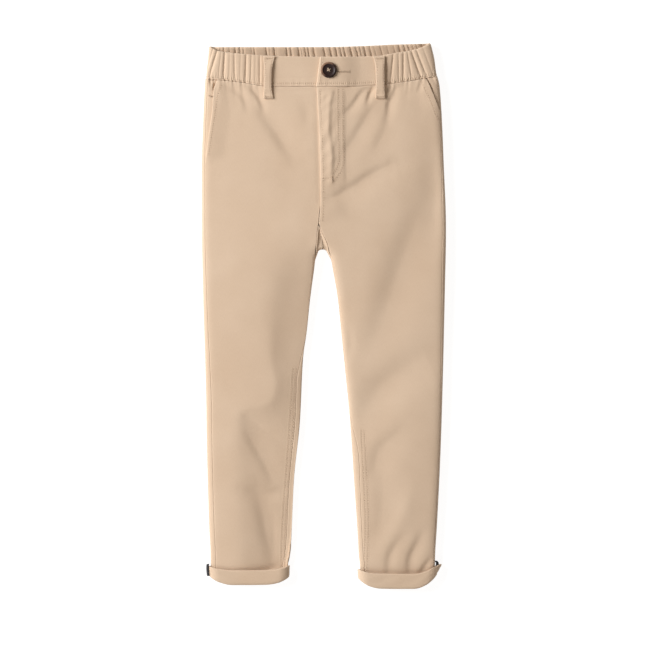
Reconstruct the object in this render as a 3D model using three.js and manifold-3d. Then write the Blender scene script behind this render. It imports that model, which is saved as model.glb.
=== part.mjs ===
// Child's chino trousers with turn-ups and a part elastic waist, laid flat on their back, front up.
// Millimetres, +Z up. The waist points to +Y, the hems to -Y, and the back panels rest on z = 0.
// "down" is measured along the garment from the top of the waist, as with a tape, so y = TOP_Y - down.
// Left and right are as seen from above.
import * as THREE from 'three';
import { mergeVertices } from 'three/addons/utils/BufferGeometryUtils.js';
import Module from 'manifold-3d';

// Driving sizes
const TOP_Y = 300;
const MIDDLE = -1.65; // x of the centre seams at the crotch
const CLOTH = 1.2;
const BAND = 2.6; // the waistband is several layers
const SEAM_GAP = 0.3;
const NEARBY = 0.6; // how far to either side a path's direction is felt for
const ROLL = 13; // how far in from a folded edge the cloth rounds over
const LAP_STEP = CLOTH + SEAM_GAP;
const BAND_STEP = BAND + SEAM_GAP;

// Outline, as distances from x = 0
const SIDES = [
  { down: 0, left: 126.5, right: 117.5 },
  { down: 18, left: 127.6, right: 121.6 },
  { down: 32, left: 129.6, right: 123.6 },
  { down: 48, left: 131.0, right: 127.2 },
  { down: 95, left: 133.1, right: 130.2 },
  { down: 128, left: 134.2, right: 131.5 },
  { down: 205, left: 134.2, right: 134.2 },
  { down: 266, left: 133.1, right: 133.1 },
  { down: 381, left: 129.8, right: 130.4 },
  { down: 447, left: 128.7, right: 128.3 },
  { down: 530, left: 126.3, right: 124.3 },
  { down: 563, left: 124.7, right: 122.3 },
  { down: 575, left: 124.6, right: 122.0 },
  { down: 600, left: 124.6, right: 122.0 },
];
const INNER_EDGES = [
  { down: 230, left: 6.6, right: 3.3 },
  { down: 234, left: 8.8, right: 6.6 },
  { down: 250, left: 11.0, right: 9.9 },
  { down: 283, left: 15.4, right: 15.4 },
  { down: 315, left: 18.7, right: 18.7 },
  { down: 348, left: 23.1, right: 22.0 },
  { down: 415, left: 26.4, right: 28.6 },
  { down: 480, left: 33.0, right: 33.0 },
  { down: 546, left: 36.3, right: 37.4 },
  { down: 563, left: 38.3, right: 38.3 },
  { down: 575, left: 40.4, right: 39.6 },
  { down: 600, left: 40.4, right: 39.6 },
];
const ARCH = { down: 230, halfWidth: 4.95, rise: 2.9 }; // the end of the space between the legs

// How thick the laid garment is, and how far the turn-ups lift it
const STACK = [
  { down: 0, lift: 0, height: 15.0 },
  { down: 40, lift: 0, height: 15.6 },
  { down: 110, lift: 0, height: 17.5 },
  { down: 220, lift: 0, height: 17.5 },
  { down: 320, lift: 0, height: 15.5 },
  { down: 470, lift: 0, height: 14.4 },
  { down: 535, lift: 0, height: 13.6 },
  { down: 575, lift: 2.4, height: 10.2 },
  { down: 600, lift: 2.4, height: 10.2 },
];

// Seams between front and back, as degrees over the rolled edge: 0 on the edge itself, 90 on the flat top
const OUTSEAM_TURN = [
  { down: 36, left: 40, right: 32 },
  { down: 80, left: 41, right: 27 },
  { down: 128, left: 42, right: 36 },
  { down: 200, left: 43, right: 46 },
  { down: 315, left: 49, right: 40 },
  { down: 400, left: 57, right: 29 },
  { down: 600, left: 55, right: 27 },
];
const INSEAM_TURN = [
  { down: 238, left: 0, right: 0 },
  { down: 310, left: 0, right: 0 },
  { down: 372, left: 54, right: 0 },
  { down: 385, left: 54, right: 0 },
  { down: 455, left: 52, right: 62 },
  { down: 540, left: 52, right: 51 },
  { down: 600, left: 54, right: 54 },
];
const FORK_TOP = 198.5;
const LEGS_PART = 238.5; // below this the two legs are separate tubes
const FORK_SEAMS = [
  { down: FORK_TOP, left: -5.9, right: -5.6 },
  { down: 209, left: -7.5, right: -1.6 },
  { down: 220, left: -8.3, right: 3.6 },
  { down: 229, left: -9.4, right: 5.8 },
  { down: LEGS_PART, left: -9.7, right: 7.9 },
];
const FORK_CLEAR = 0.8;
const FORK_DIP = 1.6; // the cloth between the fork's seams sits this much lower

// Fly: the right front laps over the left one
const FLY_EDGE = [
  { down: 49, x: -8.0 },
  { down: 112, x: -4.8 },
  { down: 171, x: -3.7 },
  { down: FORK_TOP, x: -5.6 },
];
const FLY_UNDERLAP = [
  { down: 49, width: 6 },
  { down: 150, width: 6 },
  { down: 182, width: -SEAM_GAP },
];
const FLY_RISE = [
  { down: 49, step: LAP_STEP },
  { down: 182, step: LAP_STEP },
  { down: FORK_TOP, step: 0 },
];
const FLY_FLAT_TO = 4; // x at which the lap starts to sink to the panel's own level
const FLY_SINKS_BY = 30;

// Waist: seam below the band, and the band's top edge at the front and at the back
const SEAM_MID = 48.3;
const SEAM_FADE = 125; // rows below this run straight across
const WAIST_SEAM = [
  { x: -131, front: 39.4, back: 39.4 },
  { x: -92, front: 43.5, back: 39.0 },
  { x: -58, front: 48.3, back: 38.6 },
  { x: 26, front: 48.3, back: 37.8 },
  { x: 70, front: 45.4, back: 37.4 },
  { x: 103, front: 40.5, back: 36.9 },
  { x: 127, front: 36.5, back: 36.5 },
];
const WAIST_TOP = [
  { x: -127, front: 3.6, back: 3.6 },
  { x: -115, front: 9.0, back: 4.2 },
  { x: -92, front: 11.8, back: 4.2 },
  { x: -60, front: 14.1, back: 4.2 },
  { x: 0, front: 15.4, back: 4.2 },
  { x: 55, front: 14.8, back: 2.6 },
  { x: 74, front: 11.8, back: 1.6 },
  { x: 101, front: 7.0, back: 0.8 },
  { x: 118, front: 0, back: 0 },
];
const BAND_EDGE = { top: -4.4, seam: -8.6 }; // the lapped end of the front band
const BAND_UNDERLAP_TO = 15;
const BAND_FLAT_TO = 17;
const BAND_SINKS_BY = 42;
const FLAT_BAND = { left: -61.0, right: 60.0 }; // the elastic band starts here, under the loops

// Gathers of the elastic band
const GATHERS = 52;
const GATHER_HEIGHT = 0.95;
const GATHER_UNEVEN = 0.22;
const GATHER_INSIDE = 0.6; // share of a gather's height that the inside face keeps clear of
const FOLD_AT = { x: 125, topDown: 2.2 }; // where the elastic band folds round at the garment's sides

// Pockets: the slanted mouths, and how far the cloth behind them reaches under the front
const POCKET_MOUTHS = {
  left: [
    { down: 36, x: -116.0 },
    { down: 51, x: -121.0 },
    { down: 74, x: -122.9 },
    { down: 108, x: -127.7 },
    { down: 134, x: -131.0 },
  ],
  right: [
    { down: 36, x: 111.5 },
    { down: 51, x: 118.2 },
    { down: 76, x: 127.8 },
    { down: 80, x: 128.9 },
  ],
};
const FACING_REACH = 9;
const FACING_TUCK = 0.8;
const FACING_SINK = CLOTH + 2 * SEAM_GAP;

// Belt loops
const LOOP = { width: 10.5, thick: 1.9, top: 14.6, bottom: 61.4 };
// How far a loop stands clear of the band, from its top to its foot
const LOOP_STANDS = [0.35, 0.4, 2.24, 2.8, 2.8, 2.66, 2.66, 2.8, 2.24, 0.4, 0.35];
const LOOP_X = { left: -61.2, right: 61.6 };

// Button and buttonhole
const BUTTON = { x: 5.2, down: 30.1, thick: 3.0, holeRadius: 0.85, holeRing: 2.3 };
const BUTTON_SECTION = [ // half the section: flat back, round side, raised rim, dish
  { r: 0, z: 0 }, { r: 7.6, z: 0 }, { r: 8.8, z: 0.9 }, { r: 8.8, z: 1.6 }, { r: 7.9, z: 2.7 },
  { r: 7.1, z: 3.0 }, { r: 6.3, z: 2.5 }, { r: 5.5, z: 2.1 }, { r: 0, z: 2.2 },
];
const BUTTONHOLE = { from: 4.0, to: 27.5, down: 31.9, half: 0.5 };

// Turn-ups
const FLAP = 1.8;
const FLAP_SLOT = 0.6;
const FLAP_ROLL = 12;
const FLAP_HEIGHT = 15;
const INNER_LAYER = 8; // height of the layer that runs up inside from the fold
const EDGE_ROUND = { in: 0.3, down: 1.2 };
const FOLD_SECTION = [{ out: -0.4, up: 2.6 }, { out: -1.3, up: 0.6 }, { out: -2.3, up: 0 }];
const FLARE_LEFT = 0.35; // share of the flare that is left halfway down a turn-up
const UNDER_FROM = 3.5;
const SLOT_TO = 2.9; // the slot between the layers ends this far above the fold
const RISE_SPREAD = 28; // the hem climbs over this much cloth beside each folded edge
const TURN_UPS = {
  left: {
    outer: 127.4, inner: 37.6, top: 579.3, fold: 595.7, topRise: { outer: 4.4, inner: 5.2 },
    foldRise: { outer: 9.4, inner: 8.0 }, flare: 0.5,
  },
  right: {
    outer: 125.0, inner: 36.8, top: 583.4, fold: 600.0, topRise: { outer: 10.6, inner: 5.2 },
    foldRise: { outer: 14.6, inner: 10.6 }, flare: 4.4,
  },
};
const HEM_FADE = 540; // the panels' rows start to follow the hem's climb here

// Black tapes: the outline of each one's outer face, half its width and how it rolls over the side
const TAPE = { thick: 1.1, halfAngle: 0.62 };
const TAPES = {
  left: {
    half: 7.5,
    roll: 13,
    stations: [
      { down: 572.8, edge: 129.2 },
      { down: 577, edge: 129.6 },
      { down: 581.5, edge: 129.3 },
      { down: 586, edge: 128.8 },
    ],
  },
  right: {
    half: 5.4,
    roll: 16,
    stations: [
      { down: 569, edge: 124.4 },
      { down: 571.4, edge: 126.3 },
      { down: 574.5, edge: 126.2 },
      { down: 576.8, edge: 125.4 },
    ],
  },
};

// Largest creases: soft troughs, or ridges where depth is negative, between two points in plan
const FOLDS = [
  { x: -83, down: 46, toX: -70, toDown: 62, width: 7, depth: 1.6 },
  { x: -71, down: 60, toX: -44, toDown: 104, width: 10, depth: 1.8 },
  { x: -50, down: 96, toX: -36, toDown: 120, width: 14, depth: 1.2 },
  { x: -104, down: 48, toX: -84, toDown: 72, width: 8, depth: 1.4 },
  { x: 50, down: 48, toX: 23, toDown: 77, width: 5, depth: 1.5 },
  { x: 68, down: 61, toX: 33, toDown: 113, width: 15, depth: 2.2 },
  { x: 83, down: 45, toX: 68, toDown: 84, width: 9, depth: 1.8 },
  { x: 2, down: 167, toX: 68, toDown: 137, width: 10, depth: 1.6 },
  { x: -12, down: 165, toX: -62, toDown: 136, width: 11, depth: 1.2 },
  { x: 118, down: 180, toX: 60, toDown: 297, width: 17, depth: 2.2 },
  { x: 92, down: 190, toX: 40, toDown: 262, width: 13, depth: -1.3 },
  { x: 118, down: 349, toX: 39, toDown: 418, width: 13, depth: 2.2 },
  { x: 76, down: 430, toX: 58, toDown: 446, width: 9, depth: 1.4 },
  { x: -56, down: 368, toX: -87, toDown: 410, width: 13, depth: 2.4 },
  { x: -88, down: 412, toX: -50, toDown: 484, width: 12, depth: 2.2 },
  { x: -68, down: 480, toX: -66, toDown: 560, width: 13, depth: 1.7 },
  { x: -100, down: 300, toX: -60, toDown: 340, width: 14, depth: -0.9 },
  { x: 71, down: 545, toX: 70, toDown: 584, width: 6, depth: 1.0 },
  { x: 94, down: 545, toX: 96, toDown: 584, width: 6, depth: 1.1 },
];

// Where the rows of each panel lie, and how its columns are spread
const FRONT_ROWS = [
  SEAM_MID, 57, 68, 80, 93, 107, 121, 135, 149, 162, 175, 187, FORK_TOP, 209, 219, 229, LEGS_PART,
  251, 264, 278, 293, 308, 324, 340, 356, 371, 386, 401, 416, 432, 448, 463, 478, 494, 511, 528, 545,
  560, 572,
];
const BACK_ROWS = [38, 52, 68, 86, 104, 122, 142, 162, 182, 200];
const BACK_LEG_ROWS = [
  LEGS_PART, 251, 264, 278, 293, 308, 324, 340, 356, 371, 386, 401, 416, 432, 448, 463, 478, 494, 511,
  528, 545, 560, 572,
];
const FAN_ROWS = 4;
const FAN_ENDS = [2.5, 10.5, 20.5, 30.5]; // how far below the fork's top the fan's rows end
const OVER_COLUMNS = 6; // from the underside round a leg's inner edge to its inseam
const FRONT_STOPS = { outer: [5, 10], middle: 8, inner: [17, 12, 7.5, 3.6] };
const BACK_STOPS = { outer: [4.5, 9.5, 14.5, 21], middle: 7 };

const clamp = (value, low = 0, high = 1) => Math.min(high, Math.max(low, value));
const mix = (a, b, t) => a + (b - a) * t;
const smooth = (t) => clamp(t) ** 2 * (3 - 2 * clamp(t));
const signOf = (side) => (side === 'left' ? -1 : 1);

// Reads a column of a table between its rows, along a curve that never overshoots them.
function read(table, column, value) {
  const key = Object.keys(table[0])[0];
  const last = table.length - 1;
  if (value <= table[0][key]) return table[0][column];
  if (value >= table[last][key]) return table[last][column];
  const i = table.findIndex((row) => row[key] > value) - 1;
  const step = (n) => table[n + 1][key] - table[n][key];
  const slope = (n) => (table[n + 1][column] - table[n][column]) / step(n);
  const tangent = (n) => {
    if (n === 0) return slope(0);
    if (n === last) return slope(last - 1);
    const product = slope(n - 1) * slope(n);
    return product <= 0 ? 0 : (2 * product) / (slope(n - 1) + slope(n));
  };
  const t = (value - table[i][key]) / step(i);
  const rest = 1 - t;
  return table[i][column] * (1 + 2 * t) * rest * rest + step(i) * tangent(i) * t * rest * rest
    + table[i + 1][column] * (3 - 2 * t) * t * t - step(i) * tangent(i + 1) * t * t * rest;
}

// Height of the rolled edge, from 0 at the edge itself to 1 where the cloth lies flat.
const roundness = (distance, roll = ROLL) => Math.sqrt(1 - (1 - clamp(distance / roll)) ** 2);

function toSegment(x, down, a, b) {
  const along = [b.x - a.x, b.down - a.down];
  const length2 = along[0] ** 2 + along[1] ** 2;
  const t = clamp(((x - a.x) * along[0] + (down - a.down) * along[1]) / length2);
  return { t, distance: Math.hypot(x - a.x - t * along[0], down - a.down - t * along[1]) };
}

// A place on the arch at the end of the space between the legs, and the direction away from that space.
function archPoint(turn) {
  return {
    x: MIDDLE - ARCH.halfWidth * Math.cos(turn),
    down: ARCH.down - ARCH.rise * Math.sin(turn),
    outX: -Math.cos(turn),
    outDown: -Math.sin(turn),
  };
}
// Outline of that space, up the left leg, over the arch and down the right leg.
const GAP_OUTLINE = [
  ...INNER_EDGES.slice(1, 5).reverse().map((row) => ({ x: -row.left, down: row.down })),
  ...Array.from({ length: 2 * FAN_ROWS - 1 }, (_, i) => archPoint((i * Math.PI) / (2 * FAN_ROWS - 2))),
  ...INNER_EDGES.slice(1, 5).map((row) => ({ x: row.right, down: row.down })),
];
function fromGap(x, down) {
  let least = Infinity;
  for (let i = 1; i < GAP_OUTLINE.length; i += 1) {
    least = Math.min(least, toSegment(x, down, GAP_OUTLINE[i - 1], GAP_OUTLINE[i]).distance);
  }
  return least;
}

function foldDepth(x, down) {
  return FOLDS.reduce((sum, fold) => {
    const end = { x: fold.toX, down: fold.toDown };
    const { t, distance } = toSegment(x, down, fold, end);
    const swell = 0.45 + 0.55 * Math.sin(Math.PI * clamp(t, 0.02, 0.98));
    return sum + fold.depth * swell * Math.exp(-((distance / fold.width) ** 2));
  }, 0);
}

// A point of the cloth's outer face over a place: top is 1 for the front's side, -1 for the underside.
function face(x, down, top) {
  const side = x < MIDDLE ? 'left' : 'right';
  const fromSide = read(SIDES, side, down) - Math.abs(x);
  const fromLeg = () => Math.abs(x) - read(INNER_EDGES, side, down);
  const fromInside = down < LEGS_PART ? fromGap(x, down) : fromLeg();
  const round = Math.min(roundness(fromSide), roundness(fromInside));
  const level = read(STACK, 'lift', down) + (read(STACK, 'height', down) / 2) * (1 + top * round);
  const crease = top > 0 ? round * foldDepth(x, down) : 0;
  return new THREE.Vector3(x, TOP_Y - down, level - crease);
}

// A run of points between two places in plan, crowded together at both ends, where the cloth may roll.
function run(from, to, point, count = 48) {
  return Array.from({ length: count + 1 }, (_, i) => {
    const t = (1 - Math.cos((Math.PI * i) / count)) / 2;
    return point(mix(from.x, to.x, t), mix(from.down, to.down, t), t);
  });
}

// Picks the points of a path at given distances from its start, each with the path's direction there.
function pick(path, distances) {
  const lengths = [0];
  for (let i = 1; i < path.length; i += 1) {
    lengths.push(lengths[i - 1] + path[i].distanceTo(path[i - 1]));
  }
  const total = lengths[path.length - 1];
  const pointAt = (distance) => {
    const i = clamp(lengths.findIndex((length) => length >= distance), 1, path.length - 1);
    const t = (distance - lengths[i - 1]) / (lengths[i] - lengths[i - 1]);
    return path[i - 1].clone().lerp(path[i], t);
  };
  return distances(total).map((distance) => {
    const point = pointAt(distance);
    point.along = pointAt(Math.min(total, distance + NEARBY)).sub(pointAt(Math.max(0, distance - NEARBY)));
    return point;
  });
}

// Distances along a path: some close ones at either end and an even spread between.
function spread(start, middle, end) {
  return (length) => [
    ...start,
    ...Array.from({ length: middle - 1 }, (_, i) => {
      return mix(start[start.length - 1], length - end[0], (i + 1) / middle);
    }),
    ...end.map((distance) => length - distance),
  ];
}
const HALF_GAP = SEAM_GAP / 2;
const evenly = (count) => (length) => Array.from({ length: count + 1 }, (_, i) => (length * i) / count);

// Outward normals of a grid of points. Rows may have different numbers of points.
function gridNormals(rows, turn) {
  return rows.map((row, r) => row.map((point, c) => {
    const above = r > 0 && rows[r - 1][c] ? rows[r - 1][c] : point;
    const below = r < rows.length - 1 && rows[r + 1][c] ? rows[r + 1][c] : point;
    const along = point.along?.clone() ?? (row[c + 1] ?? point).clone().sub(row[c - 1] ?? point);
    return along.cross(point.across ?? below.clone().sub(above)).normalize().multiplyScalar(turn);
  }));
}

// Joins an outer and an inner grid into one closed wall, with a rim round every edge and hole.
function closeWall(outer, inner, turn, isHole = () => false) {
  const positions = [];
  const index = new Map();
  const number = (r, c, layer) => {
    const name = `${r},${c},${layer}`;
    if (!index.has(name)) {
      index.set(name, positions.length / 3);
      positions.push(...(layer ? inner : outer)[r][c].toArray());
    }
    return index.get(name);
  };
  const triangles = [];
  const edges = new Map();
  for (let r = 0; r < outer.length - 1; r += 1) {
    for (let c = 0; c < Math.min(outer[r].length, outer[r + 1].length) - 1; c += 1) {
      if (isHole(r, c)) continue;
      const corners = [[r, c], [r, c + 1], [r + 1, c + 1], [r + 1, c]];
      if (turn < 0) corners.reverse();
      const [a, b, d, e] = corners.map(([row, column]) => number(row, column, 0));
      const [a2, b2, d2, e2] = corners.map(([row, column]) => number(row, column, 1));
      triangles.push(a, b, d, a, d, e, a2, d2, b2, a2, e2, d2);
      corners.forEach((corner, i) => {
        const next = corners[(i + 1) % 4];
        edges.set(`${corner}>${next}`, [corner, next]);
      });
    }
  }
  edges.forEach(([from, to]) => {
    if (edges.has(`${to}>${from}`)) return;
    const [a, b] = [number(...from, 0), number(...to, 0)];
    const [a2, b2] = [number(...from, 1), number(...to, 1)];
    const shorter = outer[from[0]][from[1]].distanceTo(inner[to[0]][to[1]])
      < outer[to[0]][to[1]].distanceTo(inner[from[0]][from[1]]);
    triangles.push(...(shorter ? [b, a, b2, a, a2, b2] : [b, a, a2, b, a2, b2]));
  });
  const geometry = new THREE.BufferGeometry();
  geometry.setAttribute('position', new THREE.Float32BufferAttribute(positions, 3));
  geometry.setIndex(triangles);
  return geometry;
}

// A cloth wall under a grid of outer points, or sunk below it.
function wall(rows, turn, thick = CLOTH, sink = 0, isHole) {
  const normals = gridNormals(rows, turn);
  const shifted = (depth) => rows.map((row, r) => row.map((point, c) => {
    return point.clone().addScaledVector(normals[r][c], -depth);
  }));
  return closeWall(shifted(sink), shifted(sink + thick), turn, isHole);
}

// How much higher the hem sits beside a leg's folded edges than in its middle.
function hemRise(turnUp, rises, fromOuter, fromInner) {
  const near = (distance) => (1 - clamp(distance / RISE_SPREAD)) ** 2;
  return turnUp[rises].outer * near(fromOuter) + turnUp[rises].inner * near(fromInner);
}
const hemEnd = (side) => TURN_UPS[side].fold - INNER_LAYER - 2 * SEAM_GAP;

// The distance down at a place in a panel's row: the top rows follow the waist seam, the last ones the hem.
function rowDown(side, layer, x, down) {
  const straight = layer === 'front' ? SEAM_MID : BACK_ROWS[0];
  const seamFade = clamp((SEAM_FADE - down) / (SEAM_FADE - straight));
  const seam = seamFade * (read(WAIST_SEAM, layer, x) + HALF_GAP - straight);
  const hemFade = smooth((down - HEM_FADE) / (hemEnd(side) - HEM_FADE));
  const fromOuter = read(SIDES, side, down) - Math.abs(x);
  const fromInner = Math.abs(x) - read(INNER_EDGES, side, down);
  const hem = hemFade > 0 ? hemFade * hemRise(TURN_UPS[side], 'foldRise', fromOuter, fromInner) : 0;
  return down + seam - hem;
}

const outerEdge = (side, down) => signOf(side) * read(SIDES, side, down);
const innerEdge = (side, down) => signOf(side) * read(INNER_EDGES, side, down);
const insetOf = (turn) => ROLL * (1 - Math.cos(THREE.MathUtils.degToRad(turn)));
function outseam(side, down) {
  return signOf(side) * (read(SIDES, side, down) - insetOf(read(OUTSEAM_TURN, side, down)));
}
function inseam(side, down) {
  if (down <= LEGS_PART) return read(FORK_SEAMS, side, down);
  return signOf(side) * (read(INNER_EDGES, side, down) + insetOf(read(INSEAM_TURN, side, down)));
}
// The place on an edge or seam that a row of a panel meets.
function meet(side, layer, edgeAt, level) {
  return { x: edgeAt(side, rowDown(side, layer, edgeAt(side, level), level)), down: level };
}

// Front panels
function frontOuter(side, down) {
  const mouth = POCKET_MOUTHS[side];
  const seam = outseam(side, down);
  if (down >= mouth[mouth.length - 1].down) return seam;
  const edge = read(mouth, 'x', down);
  return signOf(side) * Math.min(Math.abs(edge), Math.abs(seam));
}
function frontInner(side, down) {
  if (down >= FORK_TOP) return inseam(side, down);
  return read(FLY_EDGE, 'x', down) + (side === 'left' ? read(FLY_UNDERLAP, 'width', down) : 0);
}
function lapRise(x, down) {
  return read(FLY_RISE, 'step', down) * (1 - smooth((x - FLY_FLAT_TO) / (FLY_SINKS_BY - FLY_FLAT_TO)));
}
function frontPanel(side) {
  const rows = [...FRONT_ROWS, hemEnd(side)].map((level) => {
    const [outer, inner] = [frontOuter, frontInner].map((edgeAt) => meet(side, 'front', edgeAt, level));
    const path = run(outer, inner, (x, down) => {
      const point = face(x, rowDown(side, 'front', x, down), 1);
      if (side === 'right') point.z += lapRise(x, down);
      return point;
    });
    const { outer: near, middle, inner: far } = FRONT_STOPS;
    return pick(path, spread([HALF_GAP, ...near], middle, [...far, HALF_GAP]));
  });
  return wall(rows, signOf(side));
}

// Back panels: from the outseam round the folded edge and along the underside to the centre seam, and in the
// legs on round the inner edge to the inseam. At the crotch the rows fan out round the arch into the fork.
function backPath(side, down, endX) {
  const levelAt = (x) => rowDown(side, 'back', x, down);
  const edge = meet(side, 'back', outerEdge, down);
  return [
    ...run(meet(side, 'back', outseam, down), edge, (x) => face(x, levelAt(x), 1)),
    ...run(edge, { x: endX, down }, (x) => face(x, levelAt(x), -1)).slice(1),
  ];
}
const backStops = spread([HALF_GAP, ...BACK_STOPS.outer], BACK_STOPS.middle, [0]);
function torsoRow(side, down) {
  return pick(backPath(side, down, MIDDLE + signOf(side) * HALF_GAP), backStops);
}
function forkEnd(side, i) {
  const seams = ['left', 'right'].map((each) => inseam(each, FORK_TOP + FAN_ENDS[i]));
  if (i === 0) return (seams[0] + seams[1]) / 2 + signOf(side) * HALF_GAP;
  return (side === 'left' ? seams[0] : seams[1]) - signOf(side) * FORK_CLEAR;
}
const toSeam = (length) => evenly(OVER_COLUMNS)(length - HALF_GAP);
function fanRow(side, i) {
  const turn = (Math.PI / 2) * (1 - i / (FAN_ROWS - 1));
  const arch = archPoint(side === 'left' ? turn : Math.PI - turn);
  const centre = i === 0 ? signOf(side) * HALF_GAP : 0;
  const end = { x: forkEnd(side, i), down: FORK_TOP + FAN_ENDS[i] };
  const start = { x: arch.x + centre + arch.outX * ROLL, down: arch.down + arch.outDown * ROLL };
  const edge = { x: arch.x + centre, down: arch.down };
  const dip = FORK_DIP * Math.sin(turn);
  const dipped = (x, down, t) => {
    const point = face(x, down, 1);
    return point.setZ(point.z - dip * Math.sin(Math.PI * t));
  };
  const over = [
    ...run(start, edge, (x, down) => face(x, down, -1)),
    ...run(edge, end, dipped).slice(1),
  ];
  const fork = pick(over, toSeam).slice(1);
  const outward = new THREE.Vector3(signOf(side), 0, 0);
  if (i === 0) fork.forEach((point) => Object.assign(point, { across: outward }));
  return [...pick(backPath(side, start.down, start.x), backStops), ...fork];
}
function legRow(side, down) {
  const edge = meet(side, 'back', innerEdge, down);
  const start = { x: edge.x + signOf(side) * ROLL, down };
  const levelAt = (x) => rowDown(side, 'back', x, down);
  const over = [
    ...run(start, edge, (x) => face(x, levelAt(x), -1)),
    ...run(edge, meet(side, 'back', inseam, down), (x) => face(x, levelAt(x), 1)).slice(1),
  ];
  return [...pick(backPath(side, down, start.x), backStops), ...pick(over, toSeam).slice(1)];
}
function backPanel(side) {
  const rows = [
    ...BACK_ROWS.map((down) => torsoRow(side, down)),
    ...Array.from({ length: FAN_ROWS }, (_, i) => fanRow(side, i)),
    ...[...BACK_LEG_ROWS, hemEnd(side)].map((down) => legRow(side, down)),
  ];
  return wall(rows, -signOf(side));
}

// The cloth that shows in a pocket mouth, tucked under the front and back panels' edges.
function pocketFacing(side) {
  const mouth = POCKET_MOUTHS[side];
  const [first, last] = [SEAM_MID, mouth[mouth.length - 1].down + 4];
  const rows = Array.from({ length: 8 }, (_, i) => {
    const level = mix(first, last, i / 7);
    const under = read(mouth, 'x', level) - signOf(side) * FACING_REACH;
    const tucked = (each, down) => outseam(each, down) + signOf(each) * FACING_TUCK;
    const path = run(meet(side, 'front', tucked, level), { x: under, down: level }, (x, down) => {
      return face(x, rowDown(side, 'front', x, down), 1);
    });
    return pick(path, evenly(6));
  });
  return wall(rows, signOf(side), CLOTH, FACING_SINK);
}

// Waistband
function bandRise(x) {
  return BAND_STEP * (1 - smooth((x - BAND_FLAT_TO) / (BAND_SINKS_BY - BAND_FLAT_TO)));
}
function bandPoint(x, up, layer, top) {
  const down = mix(read(WAIST_SEAM, layer, x) - SEAM_GAP, read(WAIST_TOP, layer, x), up);
  return face(x, down, top);
}
const BAND_ROWS = [0, 0.25, 0.5, 0.78, 1];
function flatBandLeft() {
  const rows = BAND_ROWS.map((up) => run({ x: FLAT_BAND.left + HALF_GAP }, { x: BAND_UNDERLAP_TO }, (x) => {
    return bandPoint(x, up, 'front', 1);
  }, 10));
  return wall(rows, 1, BAND);
}
function flatBandRight() {
  const seam = SEAM_MID - HALF_GAP;
  const height = seam - read(WAIST_TOP, 'front', BUTTONHOLE.from);
  const slot = [1, -1].map((way) => (seam - BUTTONHOLE.down - way * BUTTONHOLE.half) / height);
  const ups = [0, 0.22, ...slot, 0.78, 1];
  const rows = ups.map((up) => {
    const end = mix(BAND_EDGE.seam, BAND_EDGE.top, up);
    const { from, to } = BUTTONHOLE;
    const columns = [end, -1.5, from, mix(from, to, 1 / 3), mix(from, to, 2 / 3), to, 34, 42, 51];
    return [...columns, FLAT_BAND.right - HALF_GAP].map((x) => {
      const point = bandPoint(x, up, 'front', 1);
      return point.setZ(point.z + bandRise(x));
    });
  });
  return wall(rows, 1, BAND, 0, (r, c) => r === 2 && c >= 2 && c <= 4);
}

// The elastic band runs from the left loop round the back to the right loop, in uneven gathers.
function elasticPath(up) {
  const point = (layer, top) => (x) => bandPoint(x, up, layer, top);
  const edges = ['left', 'right'].map((side) => {
    const seam = read(WAIST_SEAM, 'front', signOf(side) * FOLD_AT.x);
    return signOf(side) * read(SIDES, side, mix(seam, FOLD_AT.topDown, up));
  });
  return [
    ...run({ x: FLAT_BAND.left - HALF_GAP }, { x: edges[0] }, point('front', 1), 60),
    ...run({ x: edges[0] }, { x: edges[1] }, point('back', -1), 120).slice(1),
    ...run({ x: edges[1] }, { x: FLAT_BAND.right + HALF_GAP }, point('front', 1), 60).slice(1),
  ];
}
function elasticBand() {
  const ends = [0];
  for (let i = 0; i < GATHERS; i += 1) {
    ends.push(ends[i] + 1 + GATHER_UNEVEN * (Math.sin(i * 1.7) + 0.7 * Math.sin(i * 3.1)));
  }
  const shares = [];
  const waves = [];
  for (let i = 0; i < GATHERS; i += 1) {
    const size = 0.75 + 0.25 * Math.sin(i * 2.3);
    [0, 1, 0, -1].forEach((wave, quarter) => {
      shares.push(mix(ends[i], ends[i + 1], quarter / 4) / ends[GATHERS]);
      waves.push(wave * size);
    });
  }
  shares.push(1);
  waves.push(0);
  const stops = (length) => shares.map((share) => share * length);
  const rows = [0, 0.5, 1].map((up) => pick(elasticPath(up), stops));
  const normals = gridNormals(rows, -1).map((row) => row.map((normal) => normal.setY(0).normalize()));
  const shifted = (shift) => rows.map((row, r) => row.map((point, c) => {
    return point.clone().addScaledVector(normals[r][c], shift(normals[r][c], waves[c]));
  }));
  const outer = shifted((normal, wave) => GATHER_HEIGHT * (wave - 1) * smooth(1 + normal.z * 1.15));
  const inner = shifted((normal, wave) => GATHER_HEIGHT * (wave - 1 + GATHER_INSIDE) - BAND);
  outer.forEach((row) => row.forEach((point) => point.setZ(Math.max(0, point.z))));
  return closeWall(outer, inner, -1);
}

function beltLoop(side) {
  const rows = LOOP_STANDS.map((stand, i) => {
    const down = mix(LOOP.top, LOOP.bottom, i / (LOOP_STANDS.length - 1));
    return [-0.5, 0, 0.5].map((share) => {
      const x = LOOP_X[side] + share * LOOP.width;
      const level = Math.max(face(x, down, 1).z, face(LOOP_X[side], down, 1).z);
      return new THREE.Vector3(x, TOP_Y - down, level + stand + LOOP.thick);
    });
  });
  return wall(rows, -1, LOOP.thick);
}

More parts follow.
